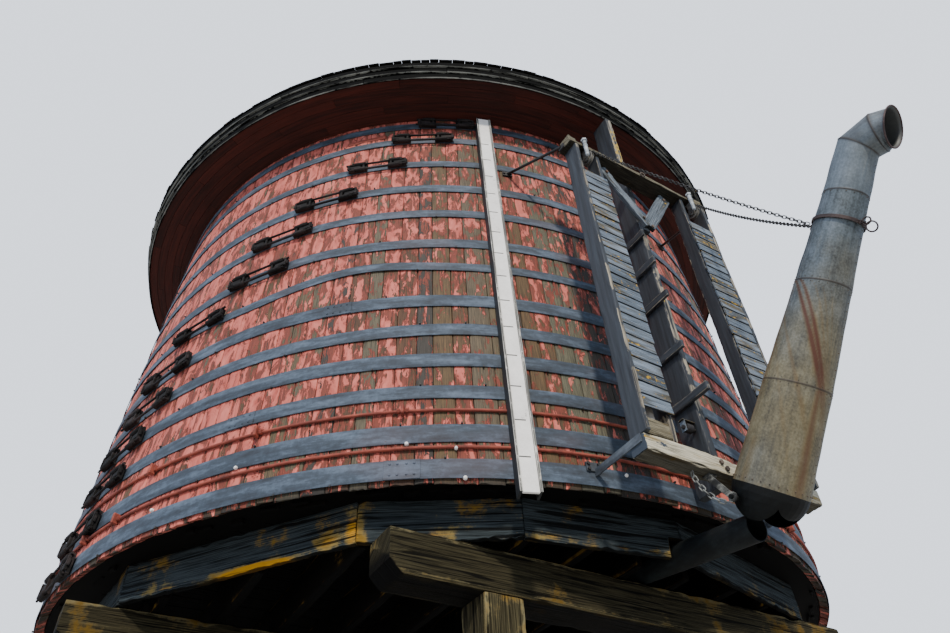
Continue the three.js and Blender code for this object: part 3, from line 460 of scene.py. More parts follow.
def boards(centres, sizes, bevel, seed, axes=np.eye(3)):
    """Many bevelled boards at once: a corner stands at its centre plus the sum over the board's three
    directions of its sign times half the size, less the bevel where the corner is inset."""
    centres, axes, sizes = (np.asarray(v, float) for v in (centres, axes, sizes))
    count = len(centres)
    sizes = np.broadcast_to(sizes, (count, 3))
    axes = np.broadcast_to(axes, (count, 3, 3))
    local = BOARD_SIGN[None] * (sizes[:, None] / 2 - BOARD_INSET[None] * bevel)
    points = centres[:, None] + np.einsum("nkj,njx->nkx", local, axes)
    pick = np.random.default_rng(seed)
    longest = sizes.argmax(1)
    along = np.take_along_axis(local, longest[:, None, None], 2)[..., 0]
    round_way = local.sum(-1) - along
    offset = pick.uniform(0, 40, (count, 1, 2))
    uv = np.stack([along, round_way], -1) + offset
    starts = np.arange(count)[:, None] * len(BOARD_SIGN)
    faces = [starts + face[None] for face in BOARD_FACES]
    tone = np.broadcast_to(pick.uniform(size=(count, 1)), (count, len(BOARD_SIGN)))
    return {"points": points.reshape(-1, 3), "faces": faces, "uv": uv.reshape(-1, 2),
            "tone": tone.reshape(-1), "edge": np.zeros(count * len(BOARD_SIGN))}


FLOOR_THICK = 0.076
FLOOR_RADIUS = 3.62
plank_lines = np.arange(-3.5, 3.51, 0.2)
reach = np.sqrt(FLOOR_RADIUS ** 2 - (np.abs(plank_lines) + 0.1) ** 2)
zeros = 0 * plank_lines
floor_planks = boards(np.stack([zeros, plank_lines, zeros + FLOOR_FOOT + FLOOR_THICK / 2], 1),
                      np.stack([2 * reach, zeros + 0.195, zeros + FLOOR_THICK], 1), 0.004, 31)
edge_turns = full_circle(96)[:, None]
GROOVE_IN, GROOVE_OUT = 3.40, 3.628
edge_ring = np.array([(GROOVE_IN, FLOOR_FOOT - 0.001), (GROOVE_OUT, FLOOR_FOOT - 0.001),
                      (GROOVE_OUT, FLOOR_FOOT + 0.070), (GROOVE_IN, FLOOR_FOOT + 0.070)])
edge_points = np.stack([edge_ring[:, 0] * np.sin(edge_turns), -edge_ring[:, 0] * np.cos(edge_turns),
                        edge_ring[:, 1] + 0 * edge_turns], -1)
pick = np.random.default_rng(34)
ROTTEN_BITS = 110
bit_turns = pick.uniform(0, 2 * np.pi, ROTTEN_BITS)
bit_radii = pick.uniform(3.505, 3.60, ROTTEN_BITS)
bit_sizes = pick.uniform((0.05, 0.012, 0.010), (0.22, 0.045, 0.040), (ROTTEN_BITS, 3))
outwards = np.stack([np.sin(bit_turns), -np.cos(bit_turns), 0 * bit_turns], 1)
sideways = unit(np.stack([np.cos(bit_turns), np.sin(bit_turns), pick.uniform(-0.12, 0.12, ROTTEN_BITS)], 1))
downwards = np.cross(sideways, outwards)
bit_centres = outwards * bit_radii[:, None] + (0, 0, FLOOR_FOOT) - np.array([0, 0, 0.5]) * bit_sizes[:, 2:]
rotten_bits = boards(bit_centres, bit_sizes, 0.004, 35, np.stack([sideways, outwards, downwards], 1))
piece("floor_planks", gather([floor_planks, loft(edge_points, wrap_rows=True), rotten_bits]), shade_black_joist_wood,
      stands_for=["tank_floor"])


# Staves
# Upright fir staves, about 6 inches wide and 2 3/4 thick, bevelled to stand in a ring that narrows upwards.
# Two coats of barn red peel off them in long flakes: salmon over brick red over brown weathered wood.
STAVE_FOOT, STAVE_HEAD, STAVE_THICK = 4.090, 8.840, 0.070
STAVE_COUNT = 156
WALL_PARTS = 6
PART_TURN_DEG = 3.75
WORST_WEAR_DEG = -26
STAVE_ROWS = 60
MEAN_RADIUS = 3.7
WALL_NARROWS = 0.05684


def wall_radius(height):
    """Radius of the wall's face: 3.939 m at the ground, less WALL_NARROWS for each metre up."""
    return 3.939 - WALL_NARROWS * np.asarray(height)


def round_place(azimuth, radius, height):
    """A point from its azimuth about the tank's axis (0 at the spout, + towards +X), radius and height."""
    azimuth, radius, height = np.broadcast_arrays(azimuth, radius, height)
    return np.stack([radius * np.sin(azimuth), -radius * np.cos(azimuth), height], -1)


def stave(left, right, seed):
    """One stave between two azimuths: an outline across it of a face with rounded edges and a flat back,
    carried up the wall. The face is cupped, stands a little proud or shy, and its foot is ragged. Its wear
    is a bell curve round the worst place, low down left of the gauge, and all that is near the foot."""
    pick = np.random.default_rng(seed)
    width = (right - left) * MEAN_RADIUS
    gap = 0.0015 / width
    across_face = np.array([gap, gap + 0.010, 0.06, 0.25, 0.5, 0.75, 0.94, 1 - gap - 0.010, 1 - gap])
    drop = np.array([0.009, 0.003, 0.0008, 0, 0, 0, 0.0008, 0.003, 0.009])
    t = np.concatenate([across_face, [1 - gap, gap]])
    depth = np.concatenate([drop + 0.0012 * (2 * across_face - 1) ** 2, [STAVE_THICK, STAVE_THICK]])
    foot = STAVE_FOOT + pick.uniform(0.0, 0.014)
    height = np.linspace(0, 1, STAVE_ROWS)[:, None] * (STAVE_HEAD - foot) + foot + 0 * t
    face = np.arange(len(t)) < len(across_face)
    height[0] += np.where(face, pick.uniform(-0.003, 0.009, len(t)), 0.035)
    spots = np.stack([0 * height + t * width, height], -1)
    shy = pick.uniform(0.0005, 0.0055) + 0.0008 * waves(spots, (0.05, 0.8), seed)
    shy = shy + 0.012 * np.exp(-(height - STAVE_FOOT) / 0.04)
    radius = wall_radius(height) - depth - np.where(face, shy, 0)
    azimuth = left + (right - left) * t
    uv = np.stack([0 * height + azimuth * MEAN_RADIUS, height], -1)
    off_worst = degrees_between((left + right) / 2, WORST_WEAR_DEG)
    wear = 0.125 * np.exp(-(off_worst / 21) ** 2 - ((height - 5.25) / 1.0) ** 2)
    wear += 0.06 * np.exp(-(off_worst / 16) ** 2 - ((height - 7.2) / 0.6) ** 2)
    wear += 0.35 * np.exp(-(height - 4.07) / 0.035) - 0.05 * np.clip((height - 7.6) / 0.8, 0, 1)
    wear += 0.03 * (np.abs(2 * t - 1) > 0.85) - 0.05 * np.clip((-off_worst - 12) / 20, 0, 1)
    return loft(round_place(0 * height + azimuth, radius, height), uv, pick.uniform(), wear)


def peeling_barn_red():
    """Oil paint on fir, brushed: the top coat has chalked to salmon, the coat under it is brick red, and
    where both are off, the wood is brown to grey-green. Flakes are 20 to 200 mm long, along the grain."""
    material, add = finish("peeling_barn_red_on_fir_staves")
    place = add("UVMap", uv_map="surface")
    tone = add("Attribute", attribute_name="tone")
    wear = add("Attribute", attribute_name="edge")
    apart = add("Math", {0: tone, 1: 37.0}, operation="MULTIPLY")
    shifted = add("CombineXYZ", {"X": apart, "Y": apart})
    own_place = add("VectorMath", {0: place, 1: shifted}, operation="ADD")
    fine = add("Mapping", {"Vector": own_place, "Scale": (150.0, 4.5, 1.0)})
    grain = add("TexNoise", {"Vector": fine, "Scale": 1.0, "Detail": 5.0, "Roughness": 0.7})
    flake_place = add("Mapping", {"Vector": own_place, "Scale": (17.0, 5.2, 1.0)})
    flake = add("TexNoise", {"Vector": flake_place, "Scale": 1.0, "Detail": 9.0, "Roughness": 0.64,
                             "Distortion": 0.35})
    coat_place = add("Mapping", {"Vector": own_place, "Location": (7.0, 3.0, 0.0), "Scale": (12.0, 4.0, 1.0)})
    top_coat = add("TexNoise", {"Vector": coat_place, "Scale": 1.0, "Detail": 9.0, "Roughness": 0.64,
                                "Distortion": 0.6})
    region = add("TexNoise", {"Vector": place, "Scale": 0.9, "Detail": 2.0})
    bias = add("Math", {0: tone, 1: 0.15, 2: -0.075})
    bias = add("Math", {0: region, 1: 0.30, 2: bias})
    bias = add("Math", {0: bias, 1: wear}, operation="SUBTRACT")
    kept = add("Math", {0: grain, 1: 0.30, 2: flake})
    kept = add("Math", {0: kept, 1: bias}, operation="ADD")
    painted = add("MapRange", {"Value": kept, "From Min": 0.706, "From Max": 0.719})
    over = add("Math", {0: top_coat, 1: 0.6}, operation="MULTIPLY")
    over = add("Math", {0: kept, 1: 0.45, 2: over})
    topped = add("MapRange", {"Value": over, "From Min": 0.660, "From Max": 0.673})
    topped = add("Math", {0: painted, 1: topped}, operation="MULTIPLY")
    kind = add("ValToRGB", {"Fac": add("Math", {0: apart, 1: 1.0}, operation="PINGPONG")},
               stops=((0.15, "#65442b"), (0.35, "#6e5636"), (0.6, "#6a6853"), (0.8, "#6d5f4a"),
                      (0.95, "#443f38")))
    light_grain = add("MapRange", {"Value": grain, "From Min": 0.3, "From Max": 0.72, "To Min": 0.16,
                                   "To Max": 0.95})
    wood = add("Mix", {0: 1.0, 6: kind, 7: light_grain}, blend_type="MULTIPLY")
    up = add("SeparateXYZ", {"Vector": place}, out=1)
    rot = add("MapRange", {"Value": up, "From Min": 4.09, "From Max": 4.16, "To Min": 0.18, "To Max": 1.0})
    wood = add("Mix", {0: 1.0, 6: wood, 7: rot}, blend_type="MULTIPLY")
    under = add("ValToRGB", {"Fac": grain}, stops=((0.3, "#4f2018"), (0.7, "#85402f")))
    top = add("ValToRGB", {"Fac": top_coat}, stops=((0.4, "#a34a3f"), (0.75, "#cf7567")))
    colour = add("Mix", {0: painted, 6: wood, 7: under})
    colour = add("Mix", {0: topped, 6: colour, 7: top})
    height = add("Math", {0: grain, 1: 0.9, 2: add("Math", {0: topped, 1: painted}, operation="ADD")})
    return coat(material, add, colour, 0.8, (height, 0.7, 0.003))


pick = np.random.default_rng(24)
shares = pick.uniform(0.8, 1.2, STAVE_COUNT)
joints = np.concatenate([[0], np.cumsum(shares)]) / shares.sum() * 2 * np.pi
barn_red = peeling_barn_red()
part_deg = 360 / WALL_PARTS
for i in range(WALL_PARTS):
    away = degrees_between((joints[:-1] + joints[1:]) / 2, i * part_deg + PART_TURN_DEG)
    staves = [stave(joints[k], joints[k + 1], 400 + k) for k in np.where(np.abs(away) <= part_deg / 2)[0]]
    piece(f"staves_{i + 1}", gather(staves), barn_red, stands_for=[f"stave_wall_{i + 1}"], smooth_deg=50)


# Hoops
# Rolled steel bands, each riveted from lengths and drawn tight by two bolts between a pair of cast lugs.
# Worn blue-grey paint covers the bands; the lugs are black with rust.
# Each hoop from the top down: height of its lower edge, width, azimuth of its lugs in degrees
HOOPS = (
    (8.653, 0.112, -26.95), (8.340, 0.104, -31.1), (7.879, 0.098, -38.6), (7.421, 0.112, -46.6),
    (7.011, 0.106, -53.2), (6.540, 0.116, -55.8), (6.213, 0.098, -65.5), (5.775, 0.132, -69.9),
    (5.430, 0.122, -71.5), (5.113, 0.132, -74.7), (4.797, 0.120, -75.9), (4.419, 0.150, -78.2),
    (4.132, 0.150, -81.0),
)
BAND_THICK = 0.007
BAND_SECTIONS = 288
# Where a slack hoop bows, by its number: azimuth and spread in degrees, and rise
BOWS = {3: ((-17.0, 8.0, 0.014),), 6: ((-46.0, 7.0, 0.022),), 7: ((-39.0, 8.0, 0.042), (-57.0, 8.0, -0.07)),
        9: ((-24.0, 9.0, 0.012),)}


def hoop_line(number, azimuth):
    """How far a hoop strays from level: waves of 4 mm, and for a slack one a sum of bell curves."""
    circle = np.stack([np.cos(azimuth), np.sin(azimuth)], -1)
    stray = 0.0045 * waves(circle, (1.0, 1.0), number)
    for place_deg, spread_deg, rise in BOWS.get(number, ()):
        stray = stray + rise * np.exp(-(degrees_between(azimuth, place_deg) / spread_deg) ** 2)
    return stray


def band(low, width, number):
    """A flat hoop: a thin outline with rounded edges carried round the wall on its own line. It stands off
    the staves by 1 to 3 mm, and by more where it has bowed."""
    azimuth = full_circle(BAND_SECTIONS)[:, None]
    lift = np.array([0, 0.02, 0.5, 0.98, 1, 1, 0.98, 0.5, 0.02, 0])[None]
    out = np.array([0.25, 0, 0, 0, 0.25, 0.75, 1, 1, 1, 0.75])[None] * BAND_THICK
    stray = hoop_line(number, azimuth[:, 0])[:, None]
    height = low + lift * width + stray
    proud = 0.0015 + 0.0008 * (1 + waves(azimuth, (0.9,), number + 40)[:, None])
    proud = proud + 0.2 * np.maximum(stray - 0.012, 0)
    radius = wall_radius(height) + out + proud
    uv = np.stack([azimuth * 3.6 + 0 * lift, height], -1)
    return loft(round_place(azimuth, radius, height), uv, 0.5, (lift < 0.1) | (lift > 0.9), wrap_rows=True)


def on_wall(part, azimuth_deg, height):
    """Sets a part, built with x along the wall, y outwards and z up, on the leaning wall at an azimuth. That
    mirrors it, so each face's corners are taken in the other order."""
    turn = np.radians(azimuth_deg)
    lean = np.arctan(WALL_NARROWS)
    along = np.array([np.cos(turn), np.sin(turn), 0])
    level = np.array([np.sin(turn), -np.cos(turn), 0])
    outward = level * np.cos(lean) + (0, 0, np.sin(lean))
    base = level * wall_radius(height) + (0, 0, height)
    turned_points = part["points"] @ np.stack([along, outward, np.cross(outward, along)])
    return part | {"points": base + turned_points, "faces": [block[:, ::-1] for block in part["faces"]]}


def rod(points, radius, sides=10):
    """A round rod along a path: rings of points square to the path's own direction, with level frames."""
    points = np.asarray(points, float)
    run = unit(np.gradient(points, axis=0))
    guide = np.array([0, 0, 1.0]) if abs(run[:, 2]).max() < 0.95 else np.array([1.0, 0, 0])
    side = unit(np.cross(guide, run))
    upward = np.cross(run, side)
    turn = full_circle(sides)
    radius = np.broadcast_to(radius, len(points))[:, None, None]
    rings = points[:, None] + radius * (np.cos(turn)[None, :, None] * side[:, None]
                                        + np.sin(turn)[None, :, None] * upward[:, None])
    return loft(rings, np.stack(np.broadcast_arrays(np.arange(len(points))[:, None] * 0.05, turn * 0.02), -1))


def nut(centre, direction, across_flats, thick):
    """A hexagon nut or bolt head: a short rod of six sides."""
    centre, direction = np.asarray(centre, float), np.asarray(direction, float)
    return rod([centre - direction * thick / 2, centre + direction * thick / 2], across_flats * 0.577, sides=6)


def draw_lug(width, seed):
    """A hoop's draw gear, x along the hoop: two cast lugs, each a ribbed plate with a boss above and below
    for the bolts, and four nuts."""
    pick = np.random.default_rng(seed)
    parts = []
    reach = 0.185 + pick.uniform(-0.01, 0.03)
    stand = 0.046
    edge = width / 2 - 0.004
    for s in (-1, 1):
        for k, (away, out, *size, bevel) in enumerate(
                ((0.025, 0.022, 0.190, 0.026, width + 0.012, 0.003),
                 (0.065, 0.042, 0.140, 0.020, width * 0.4, 0.004),
                 (-0.035, 0.042, 0.022, 0.028, width * 0.9, 0.004),
                 (0.115, 0.048, 0.020, 0.026, width * 0.8, 0.004)), start=1):
            parts.append(boards([(s * (reach + away), out, 0)], size, bevel, seed + k))
        for up in (-1, 1):
            boss = [(s * reach + along, stand, up * edge) for along in (-0.058, -0.052, 0.052, 0.058)]
            parts.append(rod(boss, np.array([0.017, 0.023, 0.023, 0.017])))
    for up in (-1, 1):
        over = pick.uniform(0.03, 0.09, 2)
        ends = (-reach - 0.07 - over[0], reach + 0.07 + over[1])
        parts.append(rod([(along, stand, up * edge) for along in ends], 0.0105))
        parts += [nut((s * (reach + 0.070), stand, up * edge), (1, 0, 0), 0.038, 0.022) for s in (-1, 1)]
    return gather(parts)


def splice(width, seed):
    """A riveted lap where two lengths of a band meet: a second plate with two rows of rivet heads."""
    rivets = [rod([(x, 0.0125, z * width), (x, 0.0185, z * width)], np.array([0.010, 0.005]), sides=8)
              for x in (-0.08, -0.03, 0.03, 0.08) for z in (-0.28, 0.28)]
    return gather([boards([(0, 0.0098, 0)], (0.24, 0.006, width), 0.002, seed)] + rivets)


def painted_steel(name, dark, base, pale, rust, rust_share, metallic=0.0, roughness=0.5, smear=None,
                  specular=0.5):
    """Mild steel with thin worn oil paint, brushed: cloudy in tone, scuffed pale, rusting through in specks
    and along the edges, and smeared here and there with another paint. Rust is matt."""
    material, add = finish(name)
    place = add("TexCoord", out=3)
    flat_place = add("Mapping", {"Vector": place, "Scale": (1.0, 1.0, 5.0)})
    cloud = add("TexNoise", {"Vector": flat_place, "Scale": 2.6, "Detail": 8.0, "Roughness": 0.66},
                noise_dimensions="3D")
    speck = add("TexNoise", {"Vector": place, "Scale": 24.0, "Detail": 6.0, "Roughness": 0.7},
                noise_dimensions="3D")
    edge = add("Attribute", attribute_name="edge")
    shade = add("Math", {0: speck, 1: 0.35, 2: cloud})
    paint = add("ValToRGB", {"Fac": shade}, stops=((0.48, dark), (0.66, base), (0.86, pale)))
    if smear:
        broad = add("TexNoise", {"Vector": place, "Scale": 0.85, "Detail": 3.0}, noise_dimensions="3D")
        share = add("MapRange", {"Value": broad, "From Min": 0.56, "From Max": 0.70, "To Max": 0.45})
        paint = add("Mix", {0: share, 6: paint, 7: linear(smear)})
    worn = add("Math", {0: edge, 1: 0.10, 2: shade})
    rusty = add("MapRange", {"Value": worn, "From Min": 0.98 - rust_share, "From Max": 1.06 - rust_share})
    red = add("ValToRGB", {"Fac": speck}, stops=((0.35, "#2b140c"), (0.65, rust)))
    colour = add("Mix", {0: rusty, 6: paint, 7: red})
    rough = add("MapRange", {"Value": rusty, "To Min": roughness, "To Max": 0.92})
    return coat(material, add, colour, rough, (shade, 0.3, 0.003), specular, metallic)


hoop_paint = painted_steel("blue_grey_paint_on_hoop_steel", "#1b232d", "#303d4b", "#536376", "#5d4036", 0.05,
                           roughness=0.75, smear="#57494d")
black_iron = painted_steel("black_painted_cast_iron", "#050606", "#101112", "#2e2b2b", "#3f2620", 0.16,
                           roughness=0.6)
lug_iron = painted_steel("black_and_red_paint_on_cast_lugs", "#030303", "#0c0b0b", "#332c2c", "#3f2724", 0.16,
                         roughness=0.8, smear="#2c2120", specular=0.25)
SPLICES = {8: (-42.0,), 11: (-52.3, 40.0), 13: (-32.8, 65.0), 4: (60.0,), 6: (110.0,)}
SPIKES_A_HOOP = 30
pick = np.random.default_rng(12)
lugs, spikes = [], []
for number, (low, width, lug_deg) in enumerate(HOOPS, start=1):
    steel = [band(low, width, number)]
    for at in SPLICES.get(number, ()) + (180.0 + lug_deg * 0.3,):
        steel.append(on_wall(splice(width, number), at, low + width / 2 + hoop_line(number, np.radians(at))))
    piece(f"hoop_band_{number:02d}", gather(steel), hoop_paint, stands_for=[f"hoop_{number:02d}"])
    lug_height = low + width / 2 + hoop_line(number, np.radians(lug_deg))
    lugs.append(on_wall(draw_lug(width, 640 + number), lug_deg, lug_height))
    for k in range(SPIKES_A_HOOP):
        at = k * 360 / SPIKES_A_HOOP + pick.uniform(-5, 5)
        rim = (low + width + 0.006 if pick.uniform() > 0.5 else low - 0.006) + hoop_line(number, np.radians(at))
        spike = boards([(0, 0.010, 0)], (0.012, 0.022, 0.014), 0.002, k)
        spikes.append(on_wall(spike, at, rim))
piece("hoop_draw_lugs", gather(lugs), lug_iron)
piece("hoop_spikes", gather(spikes), black_iron)


# Round rod hoops
# Two later rods, an inch thick, screwed tight at small clamps and painted with the wall.
red_rod_paint = painted_steel("red_paint_on_rod_hoops", "#4a1d15", "#7c3629", "#a5523f", "#33201a", 0.20,
                              roughness=0.75)
ROD_RADIUS = 0.012
CLAMPS_DEG = {4.687: (-32.9, -49.4, -64.2, 44.0, 150.0), 4.370: (-68.4, -75.1, 20.0, -150.0)}
for number, (height, clamps) in enumerate(CLAMPS_DEG.items(), start=1):
    turn = full_circle(10)
    radius = wall_radius(height) + 0.013 + ROD_RADIUS * np.cos(turn)
    rings = round_place(full_circle(240)[:, None], radius, height + ROD_RADIUS * np.sin(turn))
    parts = [loft(rings, wrap_rows=True)]
    for at in clamps:
        clamp = gather([boards([(0, 0.03, 0)], (0.022, 0.055, 0.085), 0.006, number),
                        *[nut((x, 0.018, 0), (1, 0, 0), 0.034, 0.02) for x in (-0.03, 0.03)]])
        parts.append(on_wall(clamp, at, height))
    piece(f"red_rod_{number}", gather(parts), red_rod_paint, stands_for=[f"rod_hoop_{number}"])


# Eaves
# A boarded soffit, painted dark red, and a fascia of three thin bent strips, each standing out over the one
# below: black, with pale lower lips painted on as highlights. The strips are butted end to end.
def planed_paint(name, dark, base, worn, wear, roughness=0.6, specular=0.5):
    """Oil paint on a planed board, brushed: even, with faint grain, worn to pale wood on the edges, and with
    yellow lichen where the edge attribute passes 1."""
    material, add = finish(name)
    place = add("UVMap", uv_map="surface")
    stretched = add("Mapping", {"Vector": place, "Scale": (2.0, 40.0, 1.0)})
    grain = add("TexNoise", {"Vector": stretched, "Scale": 1.0, "Detail": 5.0})
    patch = add("TexNoise", {"Vector": place, "Scale": 9.0, "Detail": 7.0, "Roughness": 0.7})
    tone = add("Attribute", attribute_name="tone")
    edge = add("Attribute", attribute_name="edge")
    shade = add("Math", {0: tone, 1: 0.3, 2: grain})
    paint = add("ValToRGB", {"Fac": shade}, stops=((0.4, dark), (0.9, base)))
    bare = add("Math", {0: edge, 1: 0.55, 2: patch})
    bare = add("Math", {0: grain, 1: 0.2, 2: bare})
    mask = add("MapRange", {"Value": bare, "From Min": 1.12 - wear, "From Max": 1.18 - wear})
    wood = add("ValToRGB", {"Fac": grain}, stops=((0.35, dark), (0.7, worn)))
    colour = add("Mix", {0: mask, 6: paint, 7: wood})
    crusted = add("Math", {0: patch, 1: 0.9, 2: edge})
    lichen = add("MapRange", {"Value": crusted, "From Min": 1.98, "From Max": 2.08})
    colour = add("Mix", {0: lichen, 6: colour, 7: linear("#a58a35")})
    return coat(material, add, colour, roughness, (grain, 0.35, 0.002), specular)


def curved_strip(outline, left, right, tone, edge, sections):
    """A board bent round the tank: an outline of radius and height carried between two azimuths."""
    outline = np.asarray(outline, float)
    azimuth = np.linspace(left, right, sections)[:, None]
    rings = round_place(azimuth, outline[:, 0][None], outline[:, 1][None])
    length_round = np.concatenate([[0], np.cumsum(np.linalg.norm(np.diff(outline, axis=0), axis=1))])
    uv = np.stack(np.broadcast_arrays(azimuth * 4, length_round[None] + tone * 30), -1)
    return loft(rings, uv, tone, edge)


# Each strip of the fascia: its inner and outer radius, and the heights of its lower and upper edge
FASCIA = ((3.920, 3.940, 8.866, 8.957), (3.920, 3.964, 8.952, 9.033), (3.920, 3.988, 9.028, 9.099))
pick = np.random.default_rng(71)
strips = []
STRIPS_A_ROW = 9
for row, (inner, outer, low, high) in enumerate(FASCIA):
    outline = [(inner, low + 0.004), (inner + 0.004, low), (outer - 0.006, low), (outer, low + 0.006),
               (outer, low + 0.012), (outer, high - 0.003), (outer - 0.003, high), (inner, high)]
    # Each strip's lower lip is marked to be painted pale, as a highlight.
    highlight_lips = np.array([0, 0.3, 1, 1, 0, 0, 0, 0])
    for left in np.radians(np.arange(0, 360, 360 / STRIPS_A_ROW) + 13 * row):
        right = left + 2 * np.pi / STRIPS_A_ROW
        strips.append(curved_strip(outline, left + 0.0007, right - 0.0007, pick.uniform(), highlight_lips, 32))
# The pale colour given here as worn wood is the highlight painted on the lower lips.
fascia_paint = planed_paint("black_paint_on_fascia_strips", "#020303", "#070808", "#82847f", 0.13, 0.85, 0.08)
piece("fascia_strips", gather(strips), fascia_paint, stands_for=["eave_fascia"])

SOFFIT_BOARDS = 6
soffit = []
inner_edge, outer_edge = 3.362, 3.9197
step = (outer_edge - inner_edge) / SOFFIT_BOARDS
for k in range(SOFFIT_BOARDS):
    a, b = inner_edge + k * step + 0.001, inner_edge + (k + 1) * step - 0.001
    rise = [8.8405 + max(r - 3.44, 0) * 0.0742 for r in (a, b)]
    outline = [(a, rise[0] + 0.002), (a + 0.002, rise[0]), (b - 0.002, rise[1]), (b, rise[1] + 0.002),
               (b, rise[1] + 0.022), (a, rise[0] + 0.022)]
    for j in range(12):
        left = (j + 0.37 * k) * np.pi / 6
        right = left + np.pi / 6
        soffit.append(curved_strip(outline, left + 0.0004, right - 0.0004, pick.uniform(), 0.0, 18))
soffit_paint = planed_paint("dark_red_paint_on_soffit_boards", "#29100b", "#451b13", "#57342a", 0.24, 0.8,
                            0.25)
piece("soffit_boards", gather(soffit), soffit_paint, stands_for=["eave_soffit"])


# Roof
# Split wood shingles on a boarded cone, black with age, in courses 5 1/2 inches to the weather, with a
# small sheet-metal cap over the peak. The lowest course hangs ragged over the fascia.
ROOF_EDGE, ROOF_RADIUS, ROOF_PITCH = 9.134, 4.012, 0.5
COURSE = 0.140
SHINGLE_THICK = 0.013
slope = np.arctan(ROOF_PITCH)
slant = ROOF_RADIUS / np.cos(slope)


def roof_surface(away, lift):
    """Radius and height of a point: away is its distance up the slope from the eave, lift its height
    square to the slope over the roof's outer face."""
    radius = ROOF_RADIUS - away * np.cos(slope) + lift * np.sin(slope)
    return radius, ROOF_EDGE + away * np.sin(slope) + lift * np.cos(slope)


def weathered_wood(name, dark, grey, pale, tan, lichen_share, paint=None):
    """Bare softwood after years of rain: silver-grey ridges, dark grain and checks, tan patches, a few
    crusts of yellow lichen, and old paint where the edge attribute is near 1. Faces that point down are
    painted darker, as shade. Grain is drawn 5 mm apart."""
    material, add = finish(name)
    place = add("UVMap", uv_map="surface")
    tone = add("Attribute", attribute_name="tone")
    edge = add("Attribute", attribute_name="edge")
    fine = add("Mapping", {"Vector": place, "Scale": (4.0, 150.0, 1.0)})
    grain = add("TexNoise", {"Vector": fine, "Scale": 1.0, "Detail": 6.0, "Roughness": 0.72,
                             "Distortion": 0.2})
    broad = add("Mapping", {"Vector": place, "Scale": (2.2, 14.0, 1.0)})
    stain = add("TexNoise", {"Vector": broad, "Scale": 1.0, "Detail": 4.0})
    spots = add("TexNoise", {"Vector": place, "Scale": 26.0, "Detail": 5.0, "Roughness": 0.7})
    shade = add("Math", {0: tone, 1: 0.22, 2: grain})
    wood = add("ValToRGB", {"Fac": shade}, stops=((0.36, dark), (0.56, grey), (0.84, pale)))
    own_stain = add("Math", {0: tone, 1: 0.18, 2: stain})
    share = add("MapRange", {"Value": own_stain, "From Min": 0.56, "From Max": 0.74, "To Max": 0.85})
    tinted = add("Mix", {0: share, 6: linear("#ffffff"), 7: linear(tan)})
    colour = add("Mix", {0: 1.0, 6: wood, 7: tinted}, blend_type="MULTIPLY")
    if paint:
        left = add("Math", {0: spots, 1: 0.7, 2: edge})
        left = add("MapRange", {"Value": left, "From Min": 1.02, "From Max": 1.10})
        colour = add("Mix", {0: left, 6: colour, 7: linear(paint)})
    crust = add("Math", {0: stain, 1: 0.6, 2: spots})
    lichen = add("MapRange", {"Value": crust, "From Min": 1.05 - lichen_share, "From Max": 1.09 - lichen_share})
    colour = add("Mix", {0: lichen, 6: colour, 7: linear("#a8872f")})
    # Faces that point down are painted darker, down to 15 percent, as shade.
    facing = add("SeparateXYZ", {"Vector": add("NewGeometry", out=3)}, out=2)
    kept = add("MapRange", {"Value": facing, "From Min": -0.8, "From Max": -0.4, "To Min": 0.15})
    colour = add("Mix", {0: 1.0, 6: colour, 7: kept}, blend_type="MULTIPLY")
    return coat(material, add, colour, 0.88, (grain, 0.7, 0.004), specular=0.25)


def shingles():
    """All shingles at once: each is a thin wedge whose butt lies on the course below and whose head runs
    up under the next, set across the cone's slope at its own azimuth."""
    pick = np.random.default_rng(88)
    spans = []
    for course in range(int(slant / COURSE) - 1):
        around = 2 * np.pi * (ROOF_RADIUS - course * COURSE * np.cos(slope))
        count = max(int(around / 0.125), 5)
        shares = pick.uniform(0.6, 1.4, count)
        joints = np.cumsum(np.append(0, shares)) / shares.sum() * 2 * np.pi + pick.uniform(0, 6)
        spans.append(np.stack([np.full(count, course), joints[:-1], joints[1:]], 1))
    course, left, right = np.concatenate(spans).T
    count = len(course)
    butt = course * COURSE + pick.uniform(-0.004, 0.012, count)
    head = np.minimum(butt + 0.30, slant - 0.05)
    thick = SHINGLE_THICK * pick.uniform(0.7, 1.25, count)
    lifted = pick.uniform(0, 0.004, count)
    corners = []
    for away, low, high in ((butt, lifted - 0.022, lifted - 0.022 + thick),
                            (head, 0 * butt - 0.036, 0 * butt - 0.033)):
        for lift in (low, high):
            radius, height = roof_surface(away, np.minimum(lift, -0.0005))
            for azimuth, trim in ((left, 0.002), (right, -0.002)):
                own_gap = trim / np.maximum(radius, 0.1)
                corners.append(round_place(azimuth + own_gap, np.maximum(radius, 0.02), height))
    points = np.stack(corners, 1)
    faces = np.array([(0, 1, 3, 2), (4, 6, 7, 5), (0, 2, 6, 4), (1, 5, 7, 3), (2, 3, 7, 6), (0, 4, 5, 1)])
    starts = np.arange(count)[:, None] * 8
    uv = np.stack([np.repeat([0, 0.3], 4), np.tile([0, 0.12], 4)], -1) + pick.uniform(0, 40, (count, 1, 2))
    tone = np.repeat(pick.uniform(size=count), 8)
    return {"points": points.reshape(-1, 3), "faces": [starts + face[None] for face in faces],
            "uv": uv.reshape(-1, 2), "tone": tone, "edge": np.repeat((course == 0) * 1.0, 8)}


def turned(outline, sides):
    """A body turned about the tank's axis from a closed outline of radius and height."""
    radius, height = np.asarray(outline, float).T
    azimuth = full_circle(sides)[:, None]
    uv = np.stack(np.broadcast_arrays(azimuth * radius, height), -1)
    return loft(round_place(azimuth, radius, height), uv, 0.5, wrap_rows=True)


